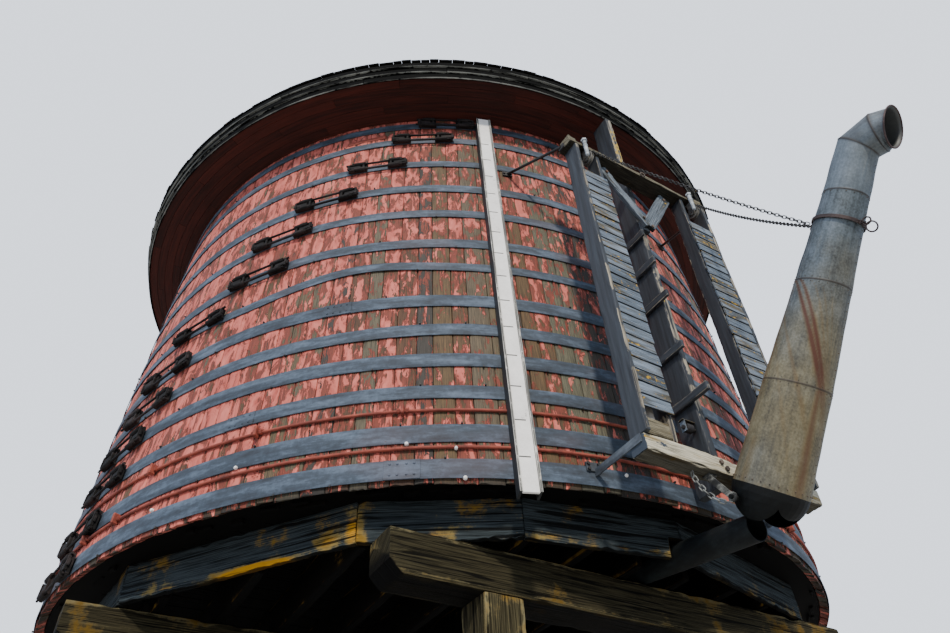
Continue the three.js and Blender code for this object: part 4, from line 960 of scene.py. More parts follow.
deck_outline = [roof_surface(slant - 0.02, -0.040), roof_surface(0.02, -0.040), roof_surface(0.05, -0.062),
                (3.5, roof_surface(slant - 3.5 / np.cos(slope), -0.06)[1]), (3.5, 8.872), (3.4, 8.872),
                (3.4, roof_surface(slant - 3.4 / np.cos(slope), -0.06)[1]), roof_surface(slant - 0.02, -0.062)]
shingle_wood = weathered_wood("weathered_split_cedar_shingles", "#0b0b0a", "#2a2825", "#4d4941", "#6b5a44", 0.0,
                              paint="#040404")
piece("roof_shingles", shingles(), shingle_wood, stands_for=["roof"], smooth_deg=20)
piece("roof_deck", turned(deck_outline, 96), shade_black_joist_wood)
cap_outline = [roof_surface(slant - away, lift)
               for away, lift in ((0.004, -0.0005), (0.30, -0.002), (0.31, -0.012), (0.012, -0.006))]
weathered_zinc = painted_steel("weathered_zinc_sheet", "#4c4f50", "#6c6f6e", "#858784", "#6a4632", 0.06, 0.6)
piece("peak_cap", turned(cap_outline, 48), weathered_zinc)


# Gauge board
# A white board ruled every foot, between two rails that stand out over the hoops. It shows the water's
# depth; paint flakes off the rails' edges.
GAUGE_DEG = -20.47
GAUGE_FOOT, GAUGE_HEAD = 3.960, 8.730
FOOT = 0.3048
TOP_MARK = 8.194
gauge_height = GAUGE_HEAD - GAUGE_FOOT


def white_lead():
    """White oil paint on a planed board: clean for the most part, with grey scuffs in clouds and specks."""
    material, add = finish("white_paint_on_gauge_board")
    place = add("TexCoord", out=3)
    smear = add("TexNoise", {"Vector": place, "Scale": 6.0, "Detail": 6.0, "Roughness": 0.65},
                noise_dimensions="3D")
    speck = add("TexNoise", {"Vector": place, "Scale": 45.0, "Detail": 4.0}, noise_dimensions="3D")
    shade = add("Math", {0: speck, 1: 0.3, 2: smear})
    colour = add("ValToRGB", {"Fac": shade},
                 stops=((0.42, "#8d8c88"), (0.50, "#dcdcda"), (0.8, "#eeeeec")))
    return coat(material, add, colour, 0.6)


white_paint = white_lead()
rail_paint = planed_paint("grey_paint_on_gauge_rails", "#15181a", "#262b2f", "#9b9c97", 0.30)
flaking_white = planed_paint("flaking_white_paint_on_gauge_rails", "#3a3c3c", "#62655f", "#c9c9c4", 0.46)
half_gauge = gauge_height / 2
white_face = boards([(0, 0.1015, half_gauge + 0.003)], (0.112, 0.020, gauge_height), 0.002, 91)
rails = gather([boards([(s * 0.0655, 0.0645, half_gauge)], (0.019, 0.103, gauge_height - 0.02), 0.003, 92)
                for s in (-1, 1)])
rail_fronts = [timber((s * 0.0655, 0.1178, 0.004), (s * 0.0655, 0.1178, gauge_height - 0.004), 0.019, 0.0045,
                      (1, 0, 0), 96 + s, rows=150, per_side=4, worn=0.002) for s in (-1, 1)]
marks_at = np.arange(TOP_MARK, GAUGE_FOOT + 0.1, -FOOT)
marks = boards([(-0.014, 0.1120, z - GAUGE_FOOT) for z in marks_at], (0.078, 0.0012, 0.010), 0.0002, 94)
mark_paint = planed_paint("black_paint_of_gauge_marks", "#2a2b2c", "#474848", "#8a8a88", 0.1)
piece("gauge_face", on_wall(white_face, GAUGE_DEG, GAUGE_FOOT), white_paint, stands_for=["gauge_board"])
piece("gauge_rails", on_wall(rails, GAUGE_DEG, GAUGE_FOOT), rail_paint)
piece("gauge_rail_fronts", on_wall(gather(rail_fronts), GAUGE_DEG, GAUGE_FOOT), flaking_white)
piece("gauge_marks", on_wall(marks, GAUGE_DEG, GAUGE_FOOT), mark_paint)

# White-painted studs on the lowest hoops, each by azimuth and height, and a red lath nailed on near the top
STUDS = ((-32.4, 4.408), (-27.3, 4.363), (-26.5, 4.126), (-51.2, 4.427), (-62.0, 4.300), (-9.0, 4.250))
stud = rod([(0, 0.004, 0), (0, 0.020, 0), (0, 0.026, 0)], np.array([0.014, 0.012, 0.004]), sides=12)
piece("white_studs", gather([on_wall(stud, at, z) for at, z in STUDS]), white_paint)
lath = timber((-2.43, -2.46, 8.520), (-2.12, -2.73, 8.545), 0.060, 0.012, (0, 0, 1), 97, rows=12, per_side=4,
              worn=0.002)
piece("loose_lath", lath, red_rod_paint)


# Spout frame
# A light frame stands in front of the wall: a beam, a mast that serves as a ladder, a top plank, and two
# upright boxes of lapped boards for the counterweights. Slate paint is left on the planed boards and flakes
# off their front edges; the lapped boards, the beam and the top plank have weathered silver-grey.
FRAME_HALF = 0.810
FRAME_FRONT = -4.150
BOARD_BACK = -3.985
BEAM_FRONT, BEAM_BACK, BEAM_FOOT, BEAM_HEAD = -4.120, -3.9703, 4.130, 4.260
BOX_HEAD = 7.500
BOX_WIDTH, BOX_BOARD = 0.300, 0.040
SLAT_FOOT, SLAT_HEAD, SLAT_PITCH, SLAT_THICK = 4.460, 7.120, 0.1065, 0.014
SLAT_TILT = np.radians(4.0)
STOP_HEAD = 4.399
slate_paint = planed_paint("slate_paint_on_frame_boards", "#171b20", "#2f363e", "#a39b88", 0.22)
slat_wood = weathered_wood("weathered_fir_lap_boards", "#1f2327", "#586573", "#8d9bab", "#a3844f", 0.075)
beam_wood = weathered_wood("weathered_fir_beam", "#4a4840", "#b8b4a0", "#e6e1cf", "#bba678", 0.04,
                           paint="#3b4550")
plank_wood = weathered_wood("weathered_fir_top_plank", "#1d1b16", "#656152", "#a29c85", "#93804f", 0.03)


def flaked_front(board, front, strength=1.0, seed=0):
    """Marks a board's front edge as worn, all along and by a slow wave, and clears its other edges."""
    points = board["points"]
    near = np.clip((front + 0.006 - points[:, 1]) / 0.004, 0, 1)
    board["edge"] = near * strength * np.clip(0.72 + 0.4 * waves(points, (9, 9, 0.5), seed), 0.1, 1.3)
    return board


pick = np.random.default_rng(55)
middle, depth = (FRAME_FRONT + BOARD_BACK) / 2, BOARD_BACK - FRAME_FRONT
stop_level = (BEAM_HEAD + STOP_HEAD) / 2
for word, side in (("left", -1), ("right", 1)):
    outer, inner = side * (FRAME_HALF - BOX_BOARD / 2), side * (FRAME_HALF - BOX_WIDTH + BOX_BOARD / 2)
    outer_board = timber((outer, middle, BEAM_HEAD + 0.001), (outer, middle, BOX_HEAD), BOX_BOARD, depth,
                         (1, 0, 0), 700 + side, rows=150, per_side=14, worn=0.004)
    flaked_front(outer_board, FRAME_FRONT, 1.0, 702 + side)
    inner_board = timber((inner, middle + 0.014, BEAM_HEAD + 0.001), (inner, middle + 0.014, BOX_HEAD),
                         BOX_BOARD, depth - 0.028, (1, 0, 0), 705 + side, rows=120, per_side=10, worn=0.004)
    foot_wear = np.clip((SLAT_FOOT + 0.05 - inner_board["points"][:, 2]) / 0.12, 0, 1)
    inner_board["edge"] = np.maximum(inner_board["edge"] * 0.6, 1.3 * foot_wear)
    piece(f"{word}_box_boards", gather([outer_board, inner_board]), slate_paint,
          stands_for=[f"{word}_weight_box"])
    slats = []
    for k, foot in enumerate(np.arange(SLAT_FOOT, SLAT_HEAD - 0.05, SLAT_PITCH)):
        slope = pick.uniform(-0.004, 0.004)
        level = foot + SLAT_PITCH / 2
        front = FRAME_FRONT + SLAT_THICK / 2 + SLAT_PITCH / 2 * np.sin(SLAT_TILT) + pick.uniform(0, 0.002)
        out_end = side * (FRAME_HALF - BOX_BOARD + 0.002)
        in_end = side * (FRAME_HALF - BOX_WIDTH - pick.uniform(-0.004, 0.013))
        wide = SLAT_PITCH - pick.uniform(0.001, 0.003)
        slats.append(timber((out_end, front, level - slope), (in_end, front, level + slope), SLAT_THICK, wide,
                            (0, np.cos(SLAT_TILT), -np.sin(SLAT_TILT)), 720 + 40 * side + k, rows=14, per_side=6,
                            worn=0.0015))
    piece(f"{word}_box_slats", gather(slats), slat_wood)
    stop = timber((outer - side * 0.02, middle, stop_level), (inner + side * 0.02, middle, stop_level), 0.10,
                  STOP_HEAD - BEAM_HEAD - 0.002, (0, 1, 0), 770 + side, rows=8, per_side=6)
    piece(f"{word}_stop_block", stop, plank_wood)

# The beam is one 5 by 6 inch timber; slate paint is left near its ends and in one patch on its front.
beam_y, beam_z = (BEAM_FRONT + BEAM_BACK) / 2, (BEAM_FOOT + BEAM_HEAD) / 2
beam = timber((-FRAME_HALF, beam_y, beam_z), (FRAME_HALF, beam_y, beam_z), BEAM_BACK - BEAM_FRONT,
              BEAM_HEAD - BEAM_FOOT, (0, 1, 0), 780, rows=150, per_side=14)
x, y, z = beam["points"].T
patch = np.exp(-((x + 0.66) / 0.11) ** 2 - ((z - 4.205) / 0.035) ** 2) * 0.86
ends = np.clip((np.abs(x) - FRAME_HALF + 0.012) / 0.01, 0, 1)
beam["edge"] = np.maximum(patch * (y < BEAM_FRONT + 0.02), np.maximum(ends, 0.5 * (y > BEAM_BACK - 0.01)))
piece("beam_timber", beam, beam_wood, stands_for=["frame_beam"])

PLANK_Y, PLANK_Z, BLOCK_Y, BLOCK_Z = -4.0602, 7.526, -4.050, 7.606
plank = timber((-0.86, PLANK_Y, PLANK_Z), (0.86, PLANK_Y, PLANK_Z), 0.179, 0.051, (0, 1, 0), 781, rows=110,
               per_side=12)
end_blocks = [timber((s * 0.80 - 0.045, BLOCK_Y, BLOCK_Z), (s * 0.80 + 0.045, BLOCK_Y, BLOCK_Z), 0.150, 0.105,
                     (0, 1, 0), 784 + s, rows=8, worn=0.009) for s in (-1, 1)]
piece("top_plank_timber", gather([plank] + end_blocks), plank_wood, stands_for=["frame_top_plank"])

# The mast is a plank on edge; its cleats are short boards nailed to its left side, the lowest one worn most.
MAST_FRONT, MAST_BACK, MAST_THICK = -3.970, -3.745, 0.080
# Each cleat: its height, and how far it stands out in front of the mast
CLEATS = ((6.770, 0.040), (6.375, 0.070), (5.937, 0.090), (5.377, 0.080), (4.890, 0.180))
mast_y = (MAST_FRONT + MAST_BACK) / 2
mast = timber((0, mast_y, 4.150), (0, mast_y, 8.800), MAST_THICK, MAST_BACK - MAST_FRONT, (1, 0, 0), 790,
              rows=220, per_side=14, worn=0.005)
flaked_front(mast, MAST_FRONT, 0.75, 31)
x, y, z = mast["points"].T
for low, high, strength in ((7.85, 8.75, 1.0), (5.6, 6.3, 0.7), (4.7, 5.0, 0.5)):
    crusted = np.exp(-((z - (low + high) / 2) / ((high - low) / 2)) ** 4) * (y < MAST_FRONT + 0.004)
    mast["edge"] = mast["edge"] + crusted * strength * (0.9 + 0.5 * waves(mast["points"], (0.03, 9, 0.12), 33))


def cleat(height, ahead, seed, wear=0.8):
    """A cleat: a short board on the mast's left side, standing out in front of it, its corners worn."""
    board = timber((-0.0575, MAST_FRONT - ahead, height), (-0.0575, MAST_BACK, height), 0.034, 0.076, (1, 0, 0),
                   seed, rows=18, per_side=6, worn=0.005)
    board["edge"] = board["edge"] * wear
    return board


cleats = [cleat(z, ahead, 791 + k) for k, (z, ahead) in enumerate(CLEATS[:-1])]
piece("mast_timber", gather([mast] + cleats), slate_paint, stands_for=["ladder_mast"])
piece("lowest_cleat", cleat(*CLEATS[-1], 799, 1.5), slate_paint)

# The brace is two boards crossed at the mast, in the same slate paint gone thin and grey.
ARM_FOOT, ARM_HEAD = 6.850, 7.480
ARMS = ((-0.424, -4.038, 0.105), (0.365, -4.039, 0.140))
arms = [timber((0, y, ARM_FOOT), (x, y, ARM_HEAD), 0.044, wide, (0, 1, 0), 800 + k, rows=50, worn=0.004)
        for k, (x, y, wide) in enumerate(ARMS)]
packing = boards([(0, -3.9935, 6.88)], (0.08, 0.045, 0.13), 0.003, 5)
thin_slate = weathered_wood("thin_slate_paint_on_brace_boards", "#23282d", "#57616b", "#8f9aa4", "#9a8d73",
                            0.02)
piece("v_brace_planks", gather(arms + [packing]), thin_slate, stands_for=["v_brace"])


# Counterweights
# Cast iron cylinders in chalky grey-white paint, with a rusty foot ring and an eye rod screwed into the top.
# Each hangs in its box on its chain and rises as the spout comes down.
WEIGHT_RUN_Y = -4.041
WEIGHT_FOOT, WEIGHT_HEAD, WEIGHT_RADIUS, STEM_HEAD = 4.400, 4.800, 0.052, 4.855


def turned_at(place, outline, sides, axis="z"):
    """A body turned about an upright or a level axis through a place, from a closed outline of radius and
    distance along the axis."""
    turn = full_circle(sides)[:, None]
    radius, along = np.asarray(outline, float).T
    along = along + 0 * turn
    order = {"z": (radius * np.cos(turn), radius * np.sin(turn), along),
             "x": (along, radius * np.cos(turn), radius * np.sin(turn))}[axis]
    uv = np.stack(np.broadcast_arrays(turn * 0.06, along), -1)
    return loft(np.stack(order, -1) + np.asarray(place, float), uv, 0.5, wrap_rows=True)


chalky_paint = painted_steel("chalky_paint_on_cast_weights", "#6d6862", "#a5a29c", "#c9c7c2", "#6a4630", 0.10,
                             roughness=0.85)
weight_outline = [(0.004, WEIGHT_FOOT)]
weight_outline += [(WEIGHT_RADIUS - less, WEIGHT_FOOT + up)
                   for less, up in ((0.004, 0), (0, 0.004), (0, 0.022), (0.004, 0.028), (0.005, 0.20))]
weight_outline += [(WEIGHT_RADIUS - less, WEIGHT_HEAD - down)
                   for less, down in ((0.004, 0.035), (0.010, 0.014), (0.024, 0.002))]
weight_outline += [(0.014, WEIGHT_HEAD), (0.012, WEIGHT_HEAD + 0.004), (0.012, STEM_HEAD - 0.003),
                   (0.009, STEM_HEAD), (0.004, STEM_HEAD)]
for word, side in (("left", -1), ("right", 1)):
    cast = turned_at((side * 0.660, WEIGHT_RUN_Y, 0), weight_outline, 40)
    piece(f"{word}_weight", cast, chalky_paint, f"{word}_counterweight", stands_for=[f"{word}_counterweight"])


# Sheaves and forks
# Cast iron sheaves with a hub, a dished web and a grooved rim, each on a pin between two cheeks of flat iron
# that are bolted up through the top plank. Bare grey iron, with brown rust in the hollows.
SHEAVE = np.array([0.660, -4.120, 7.365])
SHEAVE_RADIUS, GROOVE_RADIUS, SHEAVE_HALF, SHEAVE_BORE = 0.073, 0.056, 0.017, 0.011
grey_iron = painted_steel("bare_cast_iron_of_sheaves", "#2a2826", "#575653", "#85847d", "#54402f", 0.16,
                          roughness=0.7)
pale_zinc = painted_steel("pale_zinc_on_fork_bolts", "#596065", "#8e979e", "#b9c1c7", "#6a4632", 0.06,
                          roughness=0.55)
sheave_outline = [(SHEAVE_BORE, -SHEAVE_HALF), (0.021, -SHEAVE_HALF), (0.023, -0.012), (0.026, -0.006),
                  (0.052, -0.006), (0.056, -0.010), (0.058, -SHEAVE_HALF), (0.070, -SHEAVE_HALF),
                  (SHEAVE_RADIUS, -0.014)]
groove = [(GROOVE_RADIUS + 0.017 * (i / 5) ** 2, 0.0024 * i) for i in range(-5, 6)]
sheave_outline += groove + [(r, -a) for r, a in reversed(sheave_outline)]
FORK_BOLT_FOOT = 0.188
lower = np.radians(np.linspace(180, 360, 13))
cheek_outline = [*zip(0.030 * np.cos(lower), 0.030 * np.sin(lower) - 0.012), (0.030, 0.120), (-0.030, 0.120)]
# The long bolt in front of each fork, by height and radius: shank, collar, head
LONG_BOLT = ((7.330, 0.012), (7.336, 0.0185), (7.470, 0.0185), (7.474, 0.0225), (7.492, 0.0225),
             (7.496, 0.0185), (7.590, 0.0185), (7.600, 0.012))
bolt_z, bolt_radii = np.array(LONG_BOLT).T
for word, side in (("left", -1), ("right", 1)):
    centre = SHEAVE * (side, 1, 1)
    piece(f"{word}_cast_sheave", turned_at(centre, sheave_outline, 48, "x"), grey_iron, f"{word}_sheave",
          stands_for=[f"{word}_sheave"])
    parts = []
    for s in (-1, 1):
        cheek = np.stack([np.column_stack([np.full(len(cheek_outline), s * a), cheek_outline])
                          for a in (0.0222, 0.0232, 0.0280, 0.0290)])
        cheek[[0, -1], :, 1:] *= 0.97
        parts.append(loft(cheek + centre))
        parts.append(nut(centre + (s * 0.033, 0, 0), (1, 0, 0), 0.026, 0.008))
    parts.append(rod([centre - (0.036, 0, 0), centre + (0.036, 0, 0)], 0.0103, sides=16))
    parts.append(boards([centre + (0, 0.0075, 0.1275)], (0.058, 0.075, 0.012), 0.002, 3))
    foot = centre + (0.045, 0.030, FORK_BOLT_FOOT)
    parts.append(nut(foot + (0, 0, 0.011), (0, 0, 1), 0.044, 0.020))
    parts.append(rod([foot, foot + (0, 0, 0.070)], 0.0125, sides=14))
    piece(f"{word}_fork_irons", gather(parts), grey_iron, stands_for=[f"{word}_sheave_fork"])
    x, y = centre[0] - 0.046, FRAME_FRONT - 0.020
    bolt = rod([(x, y, z) for z in bolt_z], bolt_radii, sides=16)
    piece(f"{word}_fork_bolt", gather([bolt, nut((x, y, 7.570), (0, 0, 1), 0.052, 0.022)]), pale_zinc)


# Small ironwork of the frame
# Bolts with hexagon heads hold the brace, the beam and the strap pads; an eye bolt and a small roller in a
# pale bracket served lines that are gone. Bare iron, brown with rust.
def eye_ring(centre, radius, wire, normal):
    """A ring of round wire: circles of wire carried round a bigger circle square to a normal."""
    normal = unit(np.asarray(normal, float))
    first = unit(np.cross(normal, (0.3, 0.5, 0.81)))
    second = np.cross(normal, first)
    turn = full_circle(28)[:, None, None]
    tube = full_circle(8)[:, None]
    outward = np.cos(turn) * first + np.sin(turn) * second
    rings = centre + outward * (radius + wire * np.cos(tube)) + normal * wire * np.sin(tube)
    return loft(rings, wrap_rows=True)


bolts = [nut((x, FRAME_FRONT + 0.088 - 0.006, z), (0, 1, 0), 0.030, 0.012)
         for x, z in ((-0.052, 6.925), (0.030, 6.842), (-0.385, 7.425), (0.33, 7.425))]
bolts += [nut((x, BEAM_FRONT - 0.006, z), (0, 1, 0), 0.032, 0.014)
          for x, z in ((-0.155, 4.215), (-0.115, 4.175), (0.14, 4.20))]
bolts.append(eye_ring((0.01, FRAME_FRONT - 0.006, 7.528), 0.024, 0.007, (0.15, 1, 0.1)))
bolts.append(nut((0.01, FRAME_FRONT - 0.004, 7.500), (0, 1, 0), 0.024, 0.010))
frame_iron = painted_steel("rusty_iron_bolts_and_eyes", "#2a2421", "#4b433d", "#8b8478", "#6a4632", 0.28,
                           roughness=0.85)
piece("frame_bolts", gather(bolts), frame_iron)
ROLLER_Y, ROLLER_Z = -3.900, 4.640
roller = [rod([(x, ROLLER_Y, ROLLER_Z) for x in (-0.041, -0.150)], 0.013, sides=12),
          rod([(x, ROLLER_Y, ROLLER_Z) for x in (-0.075, -0.080, -0.125, -0.130)],
              np.array([0.028, 0.036, 0.036, 0.028]), sides=20),
          nut((-0.153, ROLLER_Y, ROLLER_Z), (1, 0, 0), 0.030, 0.014)]
piece("mast_roller", gather(roller), black_iron)
bracket = boards([(-0.100, ROLLER_Y + 0.005, 4.700), (-0.142, ROLLER_Y + 0.005, 4.655)],
                 [(0.12, 0.050, 0.008), (0.006, 0.050, 0.098)], 0.002, 6)
piece("mast_roller_bracket", bracket, slat_wood)


def paint_nodes(material, *names):
    """Gives one material to CAD nodes that stay visible."""
    for name in names:
        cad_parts[name].data.materials.clear()
        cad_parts[name].data.materials.append(material)


strap_paint = painted_steel("slate_paint_on_strap_stays", "#1b2026", "#343c45", "#59636d", "#4f3c33", 0.10,
                            roughness=0.75)
hanger_paint = painted_steel("flaking_pale_paint_on_hangers", "#101112", "#242627", "#8f918b", "#4f3b2d", 0.16,
                             roughness=0.85)
paint_nodes(strap_paint, "left_strap_stay", "right_strap_stay")
paint_nodes(black_iron, "left_bar_stay", "right_bar_stay")
paint_nodes(hanger_paint, "left_hanger", "right_hanger")
pads = [on_wall(nut((x, 0.0295, z), (0, 1, 0), 0.022, 0.009), s * 12.83, 4.272)
        for s in (-1, 1) for x in (-0.038, 0.038) for z in (-0.021, 0.021)]
pads += [on_wall(nut((x, 0.0265, 0.0), (0, 1, 0), 0.024, 0.010), s * 17.0, 7.830)
         for s in (-1, 1) for x in (-0.034, 0.034)]
piece("stay_pad_bolts", gather(pads), black_iron)


# Spout
# Galvanised sheet rolled into tapering lengths, lapped, riveted and soldered, with a mitred elbow and a
# rolled rim. Zinc has dulled to blue-grey; the lower lengths are tan with grime, and rust has run in stripes.
HINGE = np.array([0.0, -4.1975, 3.892])
LEAN = np.radians(41.0)
BASE_AHEAD, BASE_BELOW = 0.111, 0.042
# Where lengths of sheet lap: distance up and radius. Then the elbow's rings: how far ahead, how far up, tilt
# in degrees, radius and stretch
LAPS = ((0.0, 0.2365), (0.677, 0.2125), (1.363, 0.177), (2.0, 0.1465))
ELBOW = ((0.0, 2.356, 21, 0.138, 1.07), (0.115, 2.451, 60, 0.138, 1.08), (0.180, 2.479, 84, 0.129, 1.0),
         (0.190, 2.481, 84, 0.1315, 1.0), (0.198, 2.483, 84, 0.1385, 1.0))
ELBOW_SWING_DEG = 12
SHEET = 0.003
BEADS = (0.677, 1.363, 2.0)


def up_spout(points):
    """Turns points of the upright spout, +Z up the spout and +Y towards the tank, to its raised place."""
    x, y, z = np.moveaxis(np.asarray(points, float), -1, 0)
    cos, sin = np.cos(LEAN), np.sin(LEAN)
    return np.stack([x, y * cos - z * sin, y * sin + z * cos], -1) + HINGE


def tube_keys(stations, columns):
    """Rings at a tube's stations and the distance along it to each. A station is its centre (y, z), tilt,
    radius, stretch and swing: the ring is r * cos(turn) along X and r * stretch * sin(turn) along the tilt,
    then turned by the swing about the tube's first upright line, with its points counted back by as much."""
    y, z, tilt, radius, stretch, swing = np.asarray(stations, float).T
    tilt, swing = np.radians(tilt)[:, None], np.radians(swing)[:, None]
    turn = full_circle(columns) - swing
    over = (radius * stretch)[:, None] * np.sin(turn)
    across, forward = radius[:, None] * np.cos(turn), y[:, None] + over * np.cos(tilt) + BASE_BELOW
    rings = np.stack([across * np.cos(swing) - forward * np.sin(swing),
                      across * np.sin(swing) + forward * np.cos(swing) - BASE_BELOW,
                      z[:, None] + over * np.sin(tilt)], -1)
    return rings, np.concatenate([[0], np.cumsum(np.hypot(np.diff(y), np.diff(z)))])


def tube_at(stations, columns, places):
    """Rings at any distance along a tube, each a straight mix of the two rings beside it, and the outward
    direction at every point."""
    keys, reach = tube_keys(stations, columns)
    places = np.clip(places, 0, reach[-1])
    after = np.clip(np.searchsorted(reach, places, side="right"), 1, len(reach) - 1)
    t = ((places - reach[after - 1]) / (reach[after] - reach[after - 1]))[:, None, None]
    rings = keys[after - 1] * (1 - t) + keys[after] * t
    return rings, unit(rings - rings.mean(1, keepdims=True))


def sheet_tube(stations, columns, step, beads, sheet, dent, seed):
    """A tube of sheet as one closed shell: rings of its outer face to its mouth and back down inside. The
    face is raised over each bead, by a bell curve 2 mm high and 6 mm wide, and dented by slow waves."""
    reach = tube_keys(stations, 8)[1]
    near_beads = np.add.outer(beads, np.linspace(-0.012, 0.012, 7)).ravel()
    places = np.concatenate([np.arange(0, reach[-1], step), reach, near_beads])
    places = np.unique(np.round(np.clip(places, 0, reach[-1]), 4))
    rings, out = tube_at(stations, columns, places)
    raised = 0.002 * np.exp(-(np.subtract.outer(places, beads) / 0.005) ** 2).sum(1)
    moved = raised[:, None] + dent * (waves(rings, (0.5, 0.5, 0.35), seed) - 1)
    outer = rings + out * moved[..., None]
    inner = (outer - out * sheet)[::-1]
    length = np.concatenate([places, places[::-1]])[:, None]
    turn = full_circle(columns)[None]
    inside = np.repeat([0.0, 1.0], len(places))[:, None] + 0 * turn
    return np.concatenate([outer, inner]), turn + 0 * length, length + 0 * turn, inside


# Each run of rust: where it starts (distance up, turn), how far it sweeps round, its width and strength
RUST_RUNS = (
    (1.358, 2.58, 1.95, 0.080, 1.00), (1.358, 2.92, 1.72, 0.075, 0.95), (1.350, 3.44, 1.30, 0.040, 0.50),
    (1.340, 3.75, 1.05, 0.035, 0.42), (1.150, 2.30, 1.95, 0.060, 0.55), (1.345, 2.30, 0.35, 0.110, 0.50),
    (1.346, 4.05, 0.80, 0.030, 0.38), (1.000, 2.30, 1.60, 0.045, 0.40),
    (0.660, 4.48, 0.12, 0.130, 0.72), (0.560, 2.40, 0.10, 0.170, 0.50), (0.30, 3.05, 0.05, 0.12, 0.42),
    (0.640, 0.60, 0.30, 0.060, 0.60), (1.330, 0.20, 0.90, 0.050, 0.60),
)


def rust_runs(turn, height):
    """How rusty each point is: stripes that start at a lap and sweep round the spout as they run down, each a
    bell curve across its own line, fading downwards."""
    rust = np.zeros(np.shape(height))
    for top, start, sweep, width, strength in RUST_RUNS:
        down = np.clip((top - height) / 0.68, 0, 1.6)
        line = start + sweep * down ** 0.65
        away = (turn - line + np.pi) % (2 * np.pi) - np.pi
        bell = np.exp(-(away / (width * (1 + 0.9 * down))) ** 2)
        rust = np.maximum(rust, strength * bell * (height < top) * np.clip(1.9 - 1.1 * down, 0, 1))
    return rust


def galvanised_sheet():
    """Hot-dipped galvanised sheet, rolled: dull blue-grey zinc in soft clouds, tan dust towards the foot, and
    orange rust where the edge attribute puts the runs. Inside it is brown-grey. Clouds are 80 to 300 mm."""
    material, add = finish("galvanised_sheet_of_spout")
    place = add("UVMap", uv_map="surface")
    height = add("SeparateXYZ", {"Vector": place}, out=1)
    solid_place = add("TexCoord", out=3)
    speck = add("TexNoise", {"Vector": solid_place, "Scale": 70.0, "Detail": 3.0}, noise_dimensions="3D")
    cloud = add("TexNoise", {"Vector": solid_place, "Scale": 8.0, "Detail": 8.0, "Roughness": 0.72},
                noise_dimensions="3D")
    broad = add("TexNoise", {"Vector": solid_place, "Scale": 2.4, "Detail": 4.0}, noise_dimensions="3D")
    streak_place = add("Mapping", {"Vector": place, "Scale": (34.0, 1.5, 1.0)})
    streak = add("TexNoise", {"Vector": streak_place, "Scale": 1.0, "Detail": 5.0, "Roughness": 0.6})
    soft = add("Math", {0: cloud, 1: 0.45}, operation="MULTIPLY")
    shade = add("Math", {0: speck, 1: 0.30, 2: soft})
    shade = add("Math", {0: streak, 1: 0.25, 2: shade})
    zinc = add("ValToRGB", {"Fac": shade}, stops=((0.36, "#30363a"), (0.50, "#515b61"), (0.66, "#6d7882")))
    clean = add("MapRange", {"Value": height, "From Min": 1.995, "From Max": 2.005, "To Max": 0.22})
    zinc = add("Mix", {0: clean, 6: zinc, 7: linear("#8a97a3")})
    low_down = add("MapRange", {"Value": height, "From Min": 1.75, "From Max": 0.75})
    dusty = add("Math", {0: broad, 1: 1.5, 2: low_down})
    dusty = add("Math", {0: streak, 1: 0.5, 2: dusty})
    grime = add("MapRange", {"Value": dusty, "From Min": 1.0, "From Max": 2.0, "To Max": 0.92})
    dust = add("ValToRGB", {"Fac": shade}, stops=((0.36, "#423c29"), (0.50, "#665e44"), (0.66, "#827c62")))
    colour = add("Mix", {0: grime, 6: zinc, 7: dust})
    runs = add("Attribute", attribute_name="edge")
    broken = add("Math", {0: streak, 1: 0.5, 2: runs})
    rusty = add("MapRange", {"Value": broken, "From Min": 0.42, "From Max": 1.15, "To Max": 0.95})
    rust = add("ValToRGB", {"Fac": runs}, stops=((0.35, "#66522b"), (0.85, "#4c2615")))
    colour = add("Mix", {0: rusty, 6: colour, 7: rust})
    inside = add("Attribute", attribute_name="tone")
    dirt = add("ValToRGB", {"Fac": inside}, stops=((0.88, "#2b221a"), (0.99, "#4e5152")))
    colour = add("Mix", {0: inside, 6: colour, 7: dirt})
    metal = add("Math", {0: grime, 1: -0.35, 2: 0.40}, use_clamp=True)
    rough = add("MapRange", {"Value": cloud, "To Min": 0.45, "To Max": 0.72})
    return coat(material, add, colour, rough, (cloud, 0.12, 0.004), metallic=metal)


stations = [(-BASE_BELOW, BASE_AHEAD + along, 0, radius, 1, 0) for along, radius in LAPS]
stations += [(-BASE_BELOW - ahead, BASE_AHEAD + along, tilt, radius, stretch, ELBOW_SWING_DEG)
             for ahead, along, tilt, radius, stretch in ELBOW]
reach = tube_keys(stations, 8)[1]
mitres = tuple(reach[len(LAPS):len(LAPS) + 2])
rings, turn, length, inside = sheet_tube(stations, 144, 0.016, BEADS + mitres, SHEET, 0.0014, 33)
grime = 0.9 * np.exp(-(np.subtract.outer(length, BEADS) / 0.007) ** 2).sum(-1)
grime += np.exp(-(np.subtract.outer(length, mitres) / 0.011) ** 2).sum(-1) * 0.85
over_elbow = np.clip((length - mitres[0]) / 0.02, 0, 1) * np.clip(0.5 + np.cos(turn - 2.6), 0, 1)
grime += 0.30 * over_elbow * np.clip(0.6 + 0.8 * waves(rings, (0.2, 0.2, 0.2), 37), 0, 1)
inside = np.maximum(inside, np.clip(grime, 0, 0.85))
stain = np.maximum(rust_runs(turn, length), 0.22 * (length < 0.02))
shell = loft(up_spout(rings), np.stack([turn * 0.18, length], -1), inside, stain, wrap_rows=True)
zinc_sheet = galvanised_sheet()


def rivet(place, outward, radius, tall):
    """A rivet head: a six-sided dome of two rings."""
    return rod([place - outward * 0.002, place + outward * tall * 0.6, place + outward * tall],
               np.array([radius, radius * 0.85, radius * 0.35]), sides=6)


heads = []
